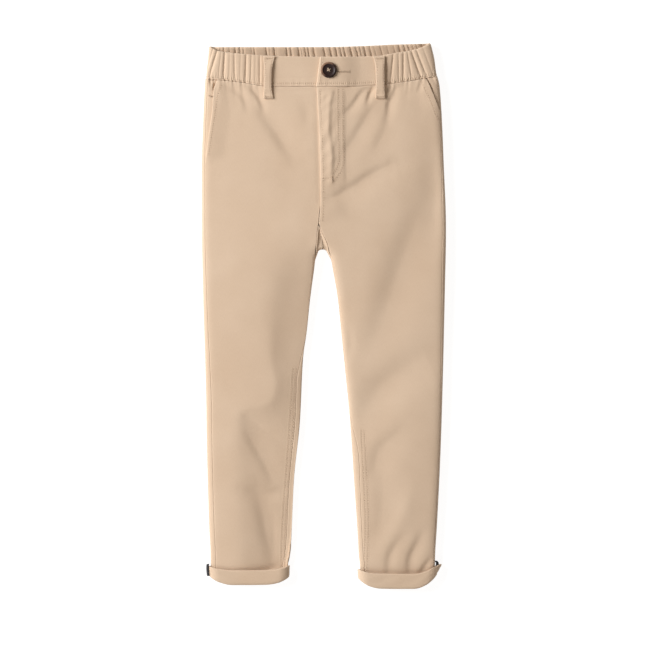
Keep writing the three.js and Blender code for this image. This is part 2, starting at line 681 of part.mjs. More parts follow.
// Turn-up: a closed ring round the leg, folded at its lower edge, with a short layer running up inside.
function ringPath(turnUp, side) {
  const sign = signOf(side);
  const half = FLAP_HEIGHT / 2;
  const points = [];
  const add = (x, z, normalX, normalZ, fromOuter, fromInner) => {
    points.push({ x, z, normalX, normalZ, fromOuter, fromInner });
  };
  const width = turnUp.outer - turnUp.inner;
  const corner = (edge, inward, angle, isOuter) => {
    const away = FLAP_ROLL * (1 - Math.cos(angle));
    const length = Math.hypot(Math.cos(angle) * half, Math.sin(angle) * FLAP_ROLL);
    const normalX = (-inward * Math.cos(angle) * half) / length;
    const normalZ = (Math.sin(angle) * FLAP_ROLL) / length;
    add(sign * (edge + inward * away), half * (1 + Math.sin(angle)), sign * normalX, normalZ,
      isOuter ? away : width - away, isOuter ? width - away : away);
  };
  const flat = (from, to, z, normalZ, count) => {
    for (let i = 1; i < count; i += 1) {
      const at = mix(from, to, i / count);
      add(sign * at, z, 0, normalZ, turnUp.outer - at, at - turnUp.inner);
    }
  };
  const steps = 6;
  const [near, far] = [turnUp.inner + FLAP_ROLL, turnUp.outer - FLAP_ROLL];
  for (let i = 0; i <= steps; i += 1) corner(turnUp.outer, -1, Math.PI * (0.5 - i / steps), true);
  flat(far, near, 0, -1, 5);
  for (let i = 0; i <= steps; i += 1) corner(turnUp.inner, 1, Math.PI * (i / steps - 0.5), false);
  flat(near, far, FLAP_HEIGHT, 1, 8);
  return points;
}
function turnUp(side) {
  const size = TURN_UPS[side];
  const under = FLAP + FLAP_SLOT + CLOTH;
  const rows = ringPath(size, side).map((place) => {
    const top = size.top - hemRise(size, 'topRise', place.fromOuter, place.fromInner);
    const fold = size.fold - hemRise(size, 'foldRise', place.fromOuter, place.fromInner);
    const flare = size.flare * (1 - clamp(place.fromOuter / ROLL)) ** 1.5 * Math.abs(place.normalX);
    const waist = FLARE_LEFT * flare;
    const middle = mix(top, fold, 0.5);
    const profile = [
      { out: flare - EDGE_ROUND.in, down: top },
      { out: flare, down: top + EDGE_ROUND.down },
      { out: waist, down: middle },
      ...FOLD_SECTION.map((place) => ({ out: place.out, down: fold - place.up })),
      { out: -under + EDGE_ROUND.in, down: fold - EDGE_ROUND.down },
      { out: -under, down: fold - UNDER_FROM },
      { out: -under, down: fold - INNER_LAYER },
      { out: -under + CLOTH, down: fold - INNER_LAYER },
      { out: -FLAP - EDGE_ROUND.in, down: fold - SLOT_TO },
      { out: waist - FLAP, down: middle },
      { out: flare - FLAP, down: top + EDGE_ROUND.down },
      { out: flare - FLAP + EDGE_ROUND.in, down: top },
    ];
    return profile.map(({ out, down }) => new THREE.Vector3(
      place.x + place.normalX * out,
      TOP_Y - down,
      Math.max(0, place.z + place.normalZ * Math.min(0, out)),
    ));
  });
  return closedSweep(rows, signOf(side));
}
function closedSweep(rows, turn) {
  const count = rows[0].length;
  const positions = rows.flatMap((row) => row.flatMap((point) => point.toArray()));
  const triangles = [];
  rows.forEach((_, r) => {
    for (let c = 0; c < count; c += 1) {
      const next = ((r + 1) % rows.length) * count;
      const [a, b, d, e] = [r * count + c, r * count + ((c + 1) % count), next + ((c + 1) % count), next + c];
      triangles.push(...(turn > 0 ? [a, b, d, a, d, e] : [a, d, b, a, e, d]));
    }
  });
  const geometry = new THREE.BufferGeometry();
  geometry.setAttribute('position', new THREE.Float32BufferAttribute(positions, 3));
  geometry.setIndex(triangles);
  return geometry;
}

// Black tape at a turn-up's outer side: a short strip on edge that follows the rolled side.
function turnUpTape(side, { stations, half, roll }) {
  const rows = stations.map(({ down, edge }) => Array.from({ length: 5 }, (_, i) => {
    const angle = mix(TAPE.halfAngle, -TAPE.halfAngle, i / 4);
    const x = signOf(side) * (edge - roll * (1 - Math.cos(angle)));
    return new THREE.Vector3(x, TOP_Y - down, FLAP_HEIGHT / 2 + half * Math.sin(angle));
  }));
  return wall(rows, -signOf(side), TAPE.thick);
}

// Button: a turned disc with a raised rim and a dish, and four holes cut through it.
async function button() {
  const wasm = await Module();
  wasm.setup();
  const solid = (geometry) => {
    geometry.deleteAttribute('normal');
    geometry.deleteAttribute('uv');
    const merged = mergeVertices(geometry, 1e-4);
    return new wasm.Manifold(new wasm.Mesh({
      numProp: 3,
      vertProperties: merged.attributes.position.array,
      triVerts: new Uint32Array(merged.index.array),
    }));
  };
  const { thick } = BUTTON;
  const section = BUTTON_SECTION.map(({ r, z }) => new THREE.Vector2(r, z));
  const disc = new THREE.LatheGeometry(section, 28).rotateX(Math.PI / 2);
  let body = solid(disc);
  for (let i = 0; i < 4; i += 1) {
    const angle = Math.PI / 7 + (i * Math.PI) / 2;
    const hole = new THREE.CylinderGeometry(BUTTON.holeRadius, BUTTON.holeRadius, 3 * thick, 8);
    hole.rotateX(Math.PI / 2);
    hole.translate(BUTTON.holeRing * Math.cos(angle), BUTTON.holeRing * Math.sin(angle), thick / 2);
    body = body.subtract(solid(hole));
  }
  const mesh = body.getMesh();
  const geometry = new THREE.BufferGeometry();
  geometry.setAttribute('position', new THREE.BufferAttribute(new Float32Array(mesh.vertProperties), 3));
  geometry.setIndex(new THREE.BufferAttribute(new Uint32Array(mesh.triVerts), 1));
  const level = bandPoint(BUTTON.x, 0.5, 'front', 1).z + BAND_STEP + SEAM_GAP;
  return geometry.translate(BUTTON.x, TOP_Y - BUTTON.down, level);
}

const trousers = new THREE.Group();
function addPiece(name, geometry, color, roughness = 0.9) {
  const mesh = new THREE.Mesh(geometry, new THREE.MeshStandardMaterial({ color, roughness, metalness: 0 }));
  mesh.name = name;
  trousers.add(mesh);
}
const SAND = 0xd2b79b;
const BLACK = 0x1a1a1c;
const BROWN = 0x41302a;
for (const side of ['left', 'right']) {
  addPiece(`front_${side}`, frontPanel(side), SAND);
  addPiece(`back_${side}`, backPanel(side), SAND);
  addPiece(`pocket_facing_${side}`, pocketFacing(side), SAND);
  addPiece(`belt_loop_${side}`, beltLoop(side), SAND);
  addPiece(`turn_up_${side}`, turnUp(side), SAND);
  addPiece(`turn_up_tape_${side}`, turnUpTape(side, TAPES[side]), BLACK);
}
addPiece('waistband_front_left', flatBandLeft(), SAND);
addPiece('waistband_front_right', flatBandRight(), SAND);
addPiece('waistband_elastic', elasticBand(), SAND);
addPiece('button', await button(), BROWN, 0.35);

export default trousers;
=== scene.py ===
import math

import bpy
import numpy as np
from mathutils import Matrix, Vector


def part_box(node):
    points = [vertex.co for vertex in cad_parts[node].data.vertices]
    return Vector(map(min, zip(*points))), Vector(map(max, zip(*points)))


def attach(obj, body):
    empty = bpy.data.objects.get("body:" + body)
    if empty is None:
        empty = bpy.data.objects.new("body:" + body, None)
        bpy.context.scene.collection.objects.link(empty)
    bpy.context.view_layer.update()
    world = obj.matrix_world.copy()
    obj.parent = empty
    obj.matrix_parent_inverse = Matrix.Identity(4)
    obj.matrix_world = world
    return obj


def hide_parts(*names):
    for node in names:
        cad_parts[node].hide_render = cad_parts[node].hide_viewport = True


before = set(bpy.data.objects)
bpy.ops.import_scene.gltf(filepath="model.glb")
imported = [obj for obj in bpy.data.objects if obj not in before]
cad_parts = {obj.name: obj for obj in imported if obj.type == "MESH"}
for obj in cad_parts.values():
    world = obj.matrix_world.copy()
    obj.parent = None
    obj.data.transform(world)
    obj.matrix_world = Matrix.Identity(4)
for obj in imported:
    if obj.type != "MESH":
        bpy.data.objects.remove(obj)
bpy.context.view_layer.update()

# Back panels
# Two pieces of sand-coloured cotton twill, each cut so wide that it wraps round the side of its leg, sewn to
# each other down the seat. Their tips run forward between the legs as the fork. The garment rests on them.
TOP_Y = 300.0  # y = TOP_Y - down, where down is measured along the garment from the top of the waist, in mm
MIDDLE = -1.65
CLOTH = 1.2
SEAM_GAP = 0.3
HALF_GAP = 0.02
ROLL = 13.0
FOLD_POWER = 3.2
TORSO_CAMBER, LEG_CAMBER, HEM_DIP = 2.2, 1.9, 4.2
SIDES = {
    "down": [0, 18, 32, 48, 95, 128, 205, 266, 381, 447, 530, 563, 575, 600],
    "left": [126.5, 127.6, 129.6, 131.0, 133.1, 134.2, 134.2, 133.1, 129.8, 128.7, 126.3, 124.7, 124.6,
             124.6],
    "right": [117.5, 121.6, 123.6, 127.2, 130.2, 131.5, 134.2, 133.1, 130.4, 128.3, 124.3, 122.3, 122.0,
              122.0],
}
INNER_EDGES = {
    "down": [230, 234, 250, 283, 315, 348, 415, 480, 546, 563, 575, 600],
    "left": [6.6, 8.8, 11.0, 15.4, 18.7, 23.1, 26.4, 33.0, 36.3, 38.3, 40.4, 40.4],
    "right": [3.3, 6.6, 9.9, 15.4, 18.7, 22.0, 28.6, 33.0, 37.4, 38.3, 39.6, 39.6],
}
STACK = {
    "down": [0, 40, 110, 220, 320, 470, 535, 575, 600],
    "lift": [0, 0, 0, 0, 0, 0, 0, 2.4, 2.4],
    "height": [15.0, 15.6, 17.5, 17.5, 15.5, 14.4, 13.6, 10.2, 10.2],
}
OUTSEAM_TURN = {
    "down": [36, 80, 128, 200, 315, 400, 600],
    "left": [40, 41, 42, 43, 49, 57, 55],
    "right": [32, 27, 36, 46, 40, 29, 27],
}
INSEAM_TURN = {
    "down": [238, 310, 372, 385, 455, 540, 600],
    "left": [0, 0, 54, 54, 52, 52, 54],
    "right": [0, 0, 0, 0, 62, 51, 54],
}
FORK_TOP = 198.5
LEGS_PART = 238.5
FORK_SEAMS = {
    "down": [FORK_TOP, 209, 220, 229, LEGS_PART],
    "left": [-5.9, -7.5, -8.3, -9.4, -9.7],
    "right": [-5.6, -1.6, 3.6, 5.8, 7.9],
}
FORK_CLEAR = 0.8
FORK_DIP = 2.4
ARCH = {"down": 230.0, "half_width": 4.95, "rise": 2.9}
WAIST_SEAM = {
    "x": [-131, -92, -58, 26, 70, 103, 127],
    "front": [39.4, 43.5, 48.3, 48.3, 45.4, 40.5, 36.5],
    "back": [39.4, 39.0, 38.6, 37.8, 37.4, 36.9, 36.5],
}
SEAM_MID, BACK_SEAM_MID = 48.3, 38.0
SEAM_FADE = 125.0
HEM_FADE = 540.0
RISE_SPREAD = 28.0
INNER_LAYER = 8.0
TURN_UPS = {
    "left": {"outer": 127.4, "inner": 37.6, "top": 579.3, "fold": 595.7, "top_rise": (4.4, 5.2),
             "fold_rise": (9.4, 8.0), "flare": 0.5},
    "right": {"outer": 125.0, "inner": 36.8, "top": 583.4, "fold": 600.0, "top_rise": (10.6, 5.2),
              "fold_rise": (14.6, 10.6), "flare": 4.4},
}
SIGN = {"left": -1.0, "right": 1.0}

# Creases of the front's side: each runs through places in plan (x, down), in mm. Width is how far it spreads
# to the smaller x and to the larger x, going down it, and depth is negative for a ridge.
CREASES = [
    {"path": [(-86, 46), (-79, 51), (-73, 58), (-69, 66), (-66, 74)], "width": (2.4, 6), "depth": 1.6},
    {"path": [(-74, 66), (-62, 84), (-50, 100), (-42, 114), (-28, 130)], "width": (7, 18), "depth": 1.9},
    {"path": [(-110, 46), (-103, 50), (-96, 54), (-89, 60), (-84, 74)], "width": (2.4, 6), "depth": 0.9},
    {"path": [(-52, 50), (-30, 52.4), (-9, 51)], "width": (2.6, 2), "depth": 0.5},
    {"path": [(-8.2, 46), (-6.9, 80), (-5.9, 112), (-5, 150), (-5, 176)], "width": (3.2, 0.5), "depth": 0.5},
    {"path": [(-24, 66), (-18, 78), (-20, 92)], "width": (6, 7), "depth": 0.6},
    {"path": [(55, 46), (48, 50), (41, 55), (35, 64), (28, 73), (20, 80)], "width": (2.4, 6), "depth": 1.4},
    {"path": [(56, 46), (52, 53), (49, 60), (47.6, 67)], "width": (1.9, 3.6), "depth": 2.0},
    {"path": [(60, 62), (50, 78), (41, 93), (32, 108), (22, 124)], "width": (5, 13), "depth": 1.4},
    {"path": [(86, 44), (79, 51), (74, 60), (71, 69), (70, 84)], "width": (2.6, 7), "depth": 1.8},
    {"path": [(71, 74), (69, 92), (62, 108), (54, 124)], "width": (6, 16), "depth": 1.1},
    {"path": [(75, 45), (69, 54), (67.5, 62)], "width": (2.2, 3.6), "depth": 1.5},
    {"path": [(106, 41), (104.6, 48), (102, 56)], "width": (1.6, 3), "depth": 1.0},
    {"path": [(80, 58), (89, 58), (98, 54)], "width": (2.4, 2.4), "depth": 0.4},
    {"path": [(0, 169.5), (12, 168.5), (24, 163)], "width": (7, 2.4), "depth": 0.85},
    {"path": [(8, 168), (28, 161), (46, 149), (62, 140), (80, 134)], "width": (16, 5), "depth": 1.9},
    {"path": [(-12, 165), (-40, 152), (-62, 136)], "width": (9, 12), "depth": 0.5},
    {"path": [(118, 165), (103, 200), (88, 240), (76, 275), (63, 315), (50, 350)],
     "width": (17, 30), "depth": 3.4},
    {"path": [(119, 105), (121, 160), (120, 220)], "width": (14, 9), "depth": 1.5},
    {"path": [(26, 310), (29, 330), (27, 348)], "width": (4, 5), "depth": 0.6},
    {"path": [(116, 347), (96, 356), (78, 368), (62, 382), (51, 400), (42, 422)],
     "width": (17, 26), "depth": 3.4},
    {"path": [(90, 424), (72, 438), (60, 452), (56, 480)], "width": (8, 18), "depth": 1.5},
    {"path": [(64, 468), (66, 500), (63, 530), (56, 548)], "width": (10, 20), "depth": 1.3},
    {"path": [(97, 488), (86, 522), (72, 546), (60, 562)], "width": (9, 9), "depth": -0.7},
    {"path": [(86, 544), (77, 555), (72, 568), (71, 588)], "width": (4.5, 7), "depth": 1.15},
    {"path": [(108, 540), (101, 554), (95, 568), (94, 588)], "width": (4.5, 8), "depth": 1.6},
    {"path": [(118, 566), (110, 577), (104, 586)], "width": (3, 4), "depth": 1.2},
    {"path": [(-88, 416), (-82, 430), (-72, 449), (-62, 467), (-53, 488)], "width": (6, 15), "depth": 1.3},
    {"path": [(-90, 490), (-78, 492), (-62, 496), (-48, 494)], "width": (8, 5), "depth": 1.1},
    {"path": [(-73, 492), (-67, 514), (-63, 536), (-58, 556), (-54, 580)], "width": (8, 16), "depth": 1.9},
    {"path": [(-56, 520), (-55, 545), (-56, 572)], "width": (4, 4), "depth": 0.25},
]
# The left leg's inner part falls away from a bent line down the leg, steeply at first, to its inner fold.
FALL = {
    "path": [(-34, 196), (-48, 250), (-57, 300), (-58, 345), (-52, 374), (-60, 396), (-88, 405), (-92, 424),
             (-91, 470), (-88, 540), (-86, 600)],
    "drop": 7.0,
    "over": 27.0,
}
FALL_EDGE = {"down": [196, 290, 345, 405, 450], "soft": [8, 5, 1.8, 1.6, 5.5]}  # how softly it starts, in mm


def read(table, column, value):
    """Reads a column of a table between its rows, along a curve that never overshoots them."""
    key = np.asarray(next(iter(table.values())), float)
    known = np.asarray(table[column], float)
    value = np.clip(np.asarray(value, float), key[0], key[-1])
    i = np.clip(np.searchsorted(key, value, side="right") - 1, 0, len(key) - 2)
    step = np.diff(key)
    slope = np.diff(known) / step
    product, total = slope[:-1] * slope[1:], slope[:-1] + slope[1:]
    between = np.where(product > 0, 2 * product / np.where(total == 0, 1, total), 0)
    tangent = np.concatenate([slope[:1], between, slope[-1:]])
    t = (value - key[i]) / step[i]
    rest = 1 - t
    start = known[i] * (1 + 2 * t) * rest**2 + step[i] * tangent[i] * t * rest**2
    return start + known[i + 1] * (3 - 2 * t) * t**2 - step[i] * tangent[i + 1] * t**2 * rest


def smooth(t):
    t = np.clip(t, 0, 1)
    return t * t * (3 - 2 * t)


def roundness(distance, roll=ROLL):
    """Height of a folded side, from 0 at the fold itself to 1 where the cloth lies flat."""
    inward = 1 - np.clip(distance / roll, 0, 1)
    return (1 - inward**FOLD_POWER) ** (1 / FOLD_POWER)


def camber(x, down):
    """The body and each leg are fullest in the middle, and sink towards their sides and into the turn-ups."""
    left = x < MIDDLE
    outer = np.where(left, read(SIDES, "left", down), read(SIDES, "right", down))
    inner = np.where(left, read(INNER_EDGES, "left", down), read(INNER_EDGES, "right", down))
    across_leg = (abs(x) - (outer + inner) / 2) / ((outer - inner) / 2)
    on_leg = smooth((down - 185) / 110)
    hem = HEM_DIP * np.exp(-(np.clip(584 - down, 0, 60) / 6.5) ** 1.6)
    return (1 - on_leg) * TORSO_CAMBER * (x / 130) ** 2 + on_leg * LEG_CAMBER * across_leg**2 + hem


def flowing(points, count=24):
    """A smooth line through a few places."""
    points = np.asarray(points, float)
    ends = [2 * points[0] - points[1], *points, 2 * points[-1] - points[-2]]
    line = []
    for a, b, c, d in zip(ends, ends[1:], ends[2:], ends[3:]):
        for t in np.linspace(0, 1, max(2, count // (len(points) - 1)), endpoint=False):
            line.append(0.5 * (2 * b + (c - a) * t + (2 * a - 5 * b + 4 * c - d) * t**2
                               + (3 * b - a - 3 * c + d) * t**3))
    return np.array([*line, points[-1]])


def to_line(x, down, line):
    """Distance from places to a line, signed by their side of it, and how far along the nearest place is."""
    signed, along = np.full(x.shape, np.inf), np.zeros(x.shape)
    lengths = np.hypot(*np.diff(line, axis=0).T)
    walked = 0.0
    for start, end, length in zip(line, line[1:], lengths):
        ux, ud = (end - start) / length
        t = np.clip((x - start[0]) * ux + (down - start[1]) * ud, 0, length)
        dx, dd = x - start[0] - t * ux, down - start[1] - t * ud
        distance = np.hypot(dx, dd)
        nearer = distance < abs(signed)
        signed = np.where(nearer, np.where(dx * ud - dd * ux < 0, -1, 1) * distance, signed)
        along = np.where(nearer, (walked + t) / lengths.sum(), along)
        walked += length
    return signed, along


def arch_point(turn):
    """A place on the end of the space between the legs, and the direction away from that space."""
    out = np.array([-math.cos(turn), -math.sin(turn)])
    return np.array([MIDDLE, ARCH["down"]]) + out * [ARCH["half_width"], ARCH["rise"]], out


GAP_DOWNS = np.linspace(234, 310, 20)
GAP_OUTLINE = np.vstack([
    np.column_stack([-read(INNER_EDGES, "left", GAP_DOWNS), GAP_DOWNS])[::-1],
    [arch_point(turn)[0] for turn in np.linspace(0, math.pi, 25)],
    np.column_stack([read(INNER_EDGES, "right", GAP_DOWNS), GAP_DOWNS]),
])


def crease_depth(x, down):
    total = np.zeros(x.shape)
    for crease, line in zip(CREASES, CREASE_LINES):
        signed, along = to_line(x, down, line)
        swell = np.sin(np.pi * np.clip(along, 0.02, 0.98))
        one_sided = np.minimum(1, 2.5 * swell)
        narrow, wide = crease["width"]
        spread = (narrow + wide) / 2 + np.where(signed < 0, -1, 1) * one_sided * (wide - narrow) / 2
        total += crease["depth"] * (0.3 + 0.7 * swell) * np.exp(-((signed / spread) ** 2))
    signed, along = to_line(x, down, FALL_LINE)
    edge = read(FALL_EDGE, "soft", down)
    beyond = np.log1p(np.exp(np.clip(signed / edge, -30, 30))) * edge
    on_left_leg = smooth((-2 - x) / 14)
    total += FALL["drop"] * smooth(6 * along) * (1 - np.exp(-beyond / FALL["over"])) * on_left_leg
    return total


CREASE_LINES = [flowing(crease["path"], 12) for crease in CREASES]
FALL_LINE = flowing(FALL["path"], 48)


def crease_share(x, down):
    """Creases start at once under the waist seam, and are held nearly flat by the band above it."""
    below = down - read(WAIST_SEAM, "front", x)
    return np.where(below < 0, 0.2 * smooth(1 + below / 9), 0.6 + 0.4 * smooth(below / 5))


# Short puckers hang from the waist seam where the elastic band gathers the cloth: places along x in mm.
PUCKERS = {
    "x": [-125, -121, -118.5, -112, -108, -104.5, -99.5, -96, -90.5, -86.5, -79, -72, 66, 73.5, 79, 88.5, 93,
          98, 101, 108, 113],
    "depth": [0.9, 1.2, 0.7, 0.8, 1.2, 0.8, 1.1, 0.7, 1.1, 0.5, 0.6, 0.5, 0.6, 1.1, 0.7, 0.8, 1.1,
              0.6, 0.8, 1.1, 0.7],
}


def pucker_depth(x, down):
    below = down - read(WAIST_SEAM, "front", x)
    total = np.zeros(x.shape)
    for middle, depth in zip(PUCKERS["x"], PUCKERS["depth"]):
        lean = middle - 0.12 * math.copysign(1, middle) * below
        reach = 4.5 + 6 * depth
        fading = np.exp(-np.clip(below, 0, 60) / reach)
        total += depth * np.exp(-((x - lean) / (1.1 + 0.1 * below)) ** 2) * fading
    return np.where((below > -4) & (below < 45), total * smooth(1 + below / 4), 0)


def face(x, down, top):
    """Height of the cloth's outer face over places: top is 1 for the front's side, -1 for the underside."""
    x, down = np.broadcast_arrays(np.asarray(x, float), np.asarray(down, float))
    left = x < MIDDLE
    from_side = np.where(left, read(SIDES, "left", down), read(SIDES, "right", down)) - abs(x)
    inner = np.where(left, read(INNER_EDGES, "left", down), read(INNER_EDGES, "right", down))
    from_gap = abs(to_line(x, down, GAP_OUTLINE)[0])
    apart = smooth((down - LEGS_PART + 8) / 16)
    from_inside = (1 - apart) * from_gap + apart * (abs(x) - inner)
    high = np.minimum(roundness(from_side), roundness(from_inside))
    level = read(STACK, "lift", down) + read(STACK, "height", down) / 2 * (1 + top * high)
    if top > 0:
        sunk = crease_share(x, down) * crease_depth(x, down) + pucker_depth(x, down) + camber(x, down)
        room = read(STACK, "height", down) - 2 * CLOTH - SEAM_GAP
        level = level - high * np.minimum(sunk, room)
    return level


def hem_rise(size, rises, from_outer, from_inner):
    """How much higher the hem sits beside a leg's folded edges than in its middle."""
    outer, inner = size[rises]
    near = lambda distance: (1 - np.clip(distance / RISE_SPREAD, 0, 1)) ** 2
    return outer * near(from_outer) + inner * near(from_inner)


def hem_end(side):
    return TURN_UPS[side]["fold"] - INNER_LAYER - 2 * SEAM_GAP


def row_down(side, layer, x, level):
    """The distance down at places in a row: the top rows follow the waist seam, the last ones the hem."""
    straight = SEAM_MID if layer == "front" else BACK_SEAM_MID
    seam_fade = np.clip((SEAM_FADE - level) / (SEAM_FADE - straight), 0, 1)
    seam = seam_fade * (read(WAIST_SEAM, layer, x) + HALF_GAP - straight)
    hem_fade = smooth((level - HEM_FADE) / (hem_end(side) - HEM_FADE))
    from_outer = read(SIDES, side, level) - abs(x)
    from_inner = abs(x) - read(INNER_EDGES, side, level)
    return level + seam - hem_fade * hem_rise(TURN_UPS[side], "fold_rise", from_outer, from_inner)


def outer_edge(side, down):
    return SIGN[side] * read(SIDES, side, down)


def inner_edge(side, down):
    return SIGN[side] * read(INNER_EDGES, side, down)


def inset_of(turn):
    return ROLL * (1 - np.cos(np.radians(turn)))


def outseam(side, down):
    return SIGN[side] * (read(SIDES, side, down) - inset_of(read(OUTSEAM_TURN, side, down)))


def inseam(side, down):
    if down <= LEGS_PART:
        return read(FORK_SEAMS, side, down)
    return SIGN[side] * (read(INNER_EDGES, side, down) + inset_of(read(INSEAM_TURN, side, down)))


def meet(side, layer, edge_at, level):
    """The place on an edge or seam that a row of a panel meets."""
    return float(edge_at(side, row_down(side, layer, edge_at(side, level), level)))


def met(side, layer, edge_at, levels):
    return np.array([meet(side, layer, edge_at, level) for level in levels])


def run(start, end, place, count=120):
    """Points between two places, crowded together at both ends, where the cloth may roll. The places may be
    columns of numbers, one for each of many rows."""
    t = (1 - np.cos(np.linspace(0, np.pi, count))) / 2
    (x0, down0), (x1, down1) = start, end
    x, down = (np.asarray(a, float)[..., None] * (1 - t) + np.asarray(b, float)[..., None] * t
               for a, b in ((x0, x1), (down0, down1)))
    return place(x, down, t)


def pick(path, distances):
    """The points of a path at given distances from its start; negative ones are from its end."""
    steps = np.linalg.norm(np.diff(path, axis=0), axis=1)
    lengths = np.concatenate([[0], np.cumsum(steps)])
    at = distances(lengths[-1])
    return np.column_stack([np.interp(at, lengths, path[:, i]) for i in range(3)])


EDGE_STOPS = np.array([0, 0.06, 0.2, 0.45, 0.9])  # crowded at a cloth's edge, where it rounds over


def spaced(length, pitch_count, first=HALF_GAP, last=HALF_GAP):
    """Distances along a path with an even spread between two rounded edges."""
    inside = np.linspace(first + EDGE_STOPS[-1], length - last - EDGE_STOPS[-1], pitch_count + 2)[1:-1]
    return np.concatenate([first + EDGE_STOPS, inside, length - last - EDGE_STOPS[::-1]])


def grid_normals(grid, turn):
    """Outward normals of a grid of points."""
    across = np.gradient(grid, axis=1)
    downward = np.gradient(grid, axis=0)
    normal = np.cross(across, downward)
    return turn * normal / np.maximum(np.linalg.norm(normal, axis=-1, keepdims=True), 1e-12)


def rounding(distance, thick):
    """How far each face of a folded edge has rounded over towards the middle of its thickness."""
    radius = 0.46 * thick
    return radius * (1 - np.sqrt(np.clip(1 - (1 - np.clip(distance / radius, 0, 1)) ** 2, 0, 1)))


def cloth_mesh(name, outer, inner, turn, uv, cells=None, marks=None):
    """Closes an outer and an inner grid of points, in mm, to one wall of cloth with a rim round each edge and
    hole. uv is in metres along the cloth, and marks are distances in mm that the material reads."""
    rows, columns = outer.shape[:2]
    count = rows * columns
    number = np.arange(count).reshape(rows, columns)
    cells = np.ones((rows - 1, columns - 1), bool) if cells is None else cells
    corners = [number[:-1, :-1], number[:-1, 1:], number[1:, 1:], number[1:, :-1]]
    quads = np.stack([corner[cells] for corner in corners], axis=1)
    if turn < 0:
        quads = quads[:, ::-1]
    starts, ends = quads.ravel(), np.roll(quads, -1, axis=1).ravel()
    edge = ~np.isin(starts * count + ends, ends * count + starts)
    a, b = starts[edge], ends[edge]
    faces = np.vstack([quads, quads[:, ::-1] + count, np.column_stack([b, a, a + count, b + count])])
    used = np.unique(faces)
    renumber = np.zeros(2 * count, int)
    renumber[used] = np.arange(len(used))
    points = np.vstack([outer.reshape(-1, 3), inner.reshape(-1, 3)])[used] / 1000
    flat = np.tile(uv.reshape(-1, 2), (2, 1))[used]
    faces = renumber[faces]
    mesh = bpy.data.meshes.new(name)
    mesh.vertices.add(len(points))
    mesh.vertices.foreach_set("co", points.astype(np.float32).ravel())
    mesh.loops.add(faces.size)
    mesh.loops.foreach_set("vertex_index", faces.astype(np.int32).ravel())
    mesh.polygons.add(len(faces))
    mesh.polygons.foreach_set("loop_start", np.arange(0, faces.size, 4, dtype=np.int32))
    mesh.update(calc_edges=True)
    layer = mesh.uv_layers.new(name="cloth")
    layer.data.foreach_set("uv", flat[faces.ravel()].astype(np.float32).ravel())
    for mark, values in (marks or {}).items():
        attribute = mesh.attributes.new(mark, "FLOAT", "POINT")
        attribute.data.foreach_set("value", np.tile(values.ravel(), 2)[used].astype(np.float32))
    mesh.shade_smooth()
    piece = bpy.data.objects.new(name, mesh)
    bpy.context.scene.collection.objects.link(piece)
    return piece


def walls(grid, turn, thick, edge_distance, sink=0.0):
    """The outer and inner faces of a cloth under a grid, rounded over at its edges."""
    normal = grid_normals(grid, turn)
    over = rounding(edge_distance, thick)[..., None]
    return grid - normal * (sink + over), grid - normal * (sink + thick - over)


def add_node(tree, kind, **settings):
    node = tree.nodes.new(kind)
    for key, value in settings.items():
        setattr(node, key, value)
    return node


def arithmetic(tree, operation, *terms):
    """A Math node fed with sockets or numbers."""
    node = add_node(tree, "ShaderNodeMath", operation=operation)
    for socket, term in zip(node.inputs, terms):
        if isinstance(term, (int, float)):
            socket.default_value = term
        else:
            tree.links.new(term, socket)
    return node.outputs[0]


def noise(tree, vector, scale, detail=2.0):
    node = add_node(tree, "ShaderNodeTexNoise", noise_dimensions="3D")
    node.inputs["Scale"].default_value = scale
    node.inputs["Detail"].default_value = detail
    tree.links.new(vector, node.inputs["Vector"])
    return node.outputs["Fac"]


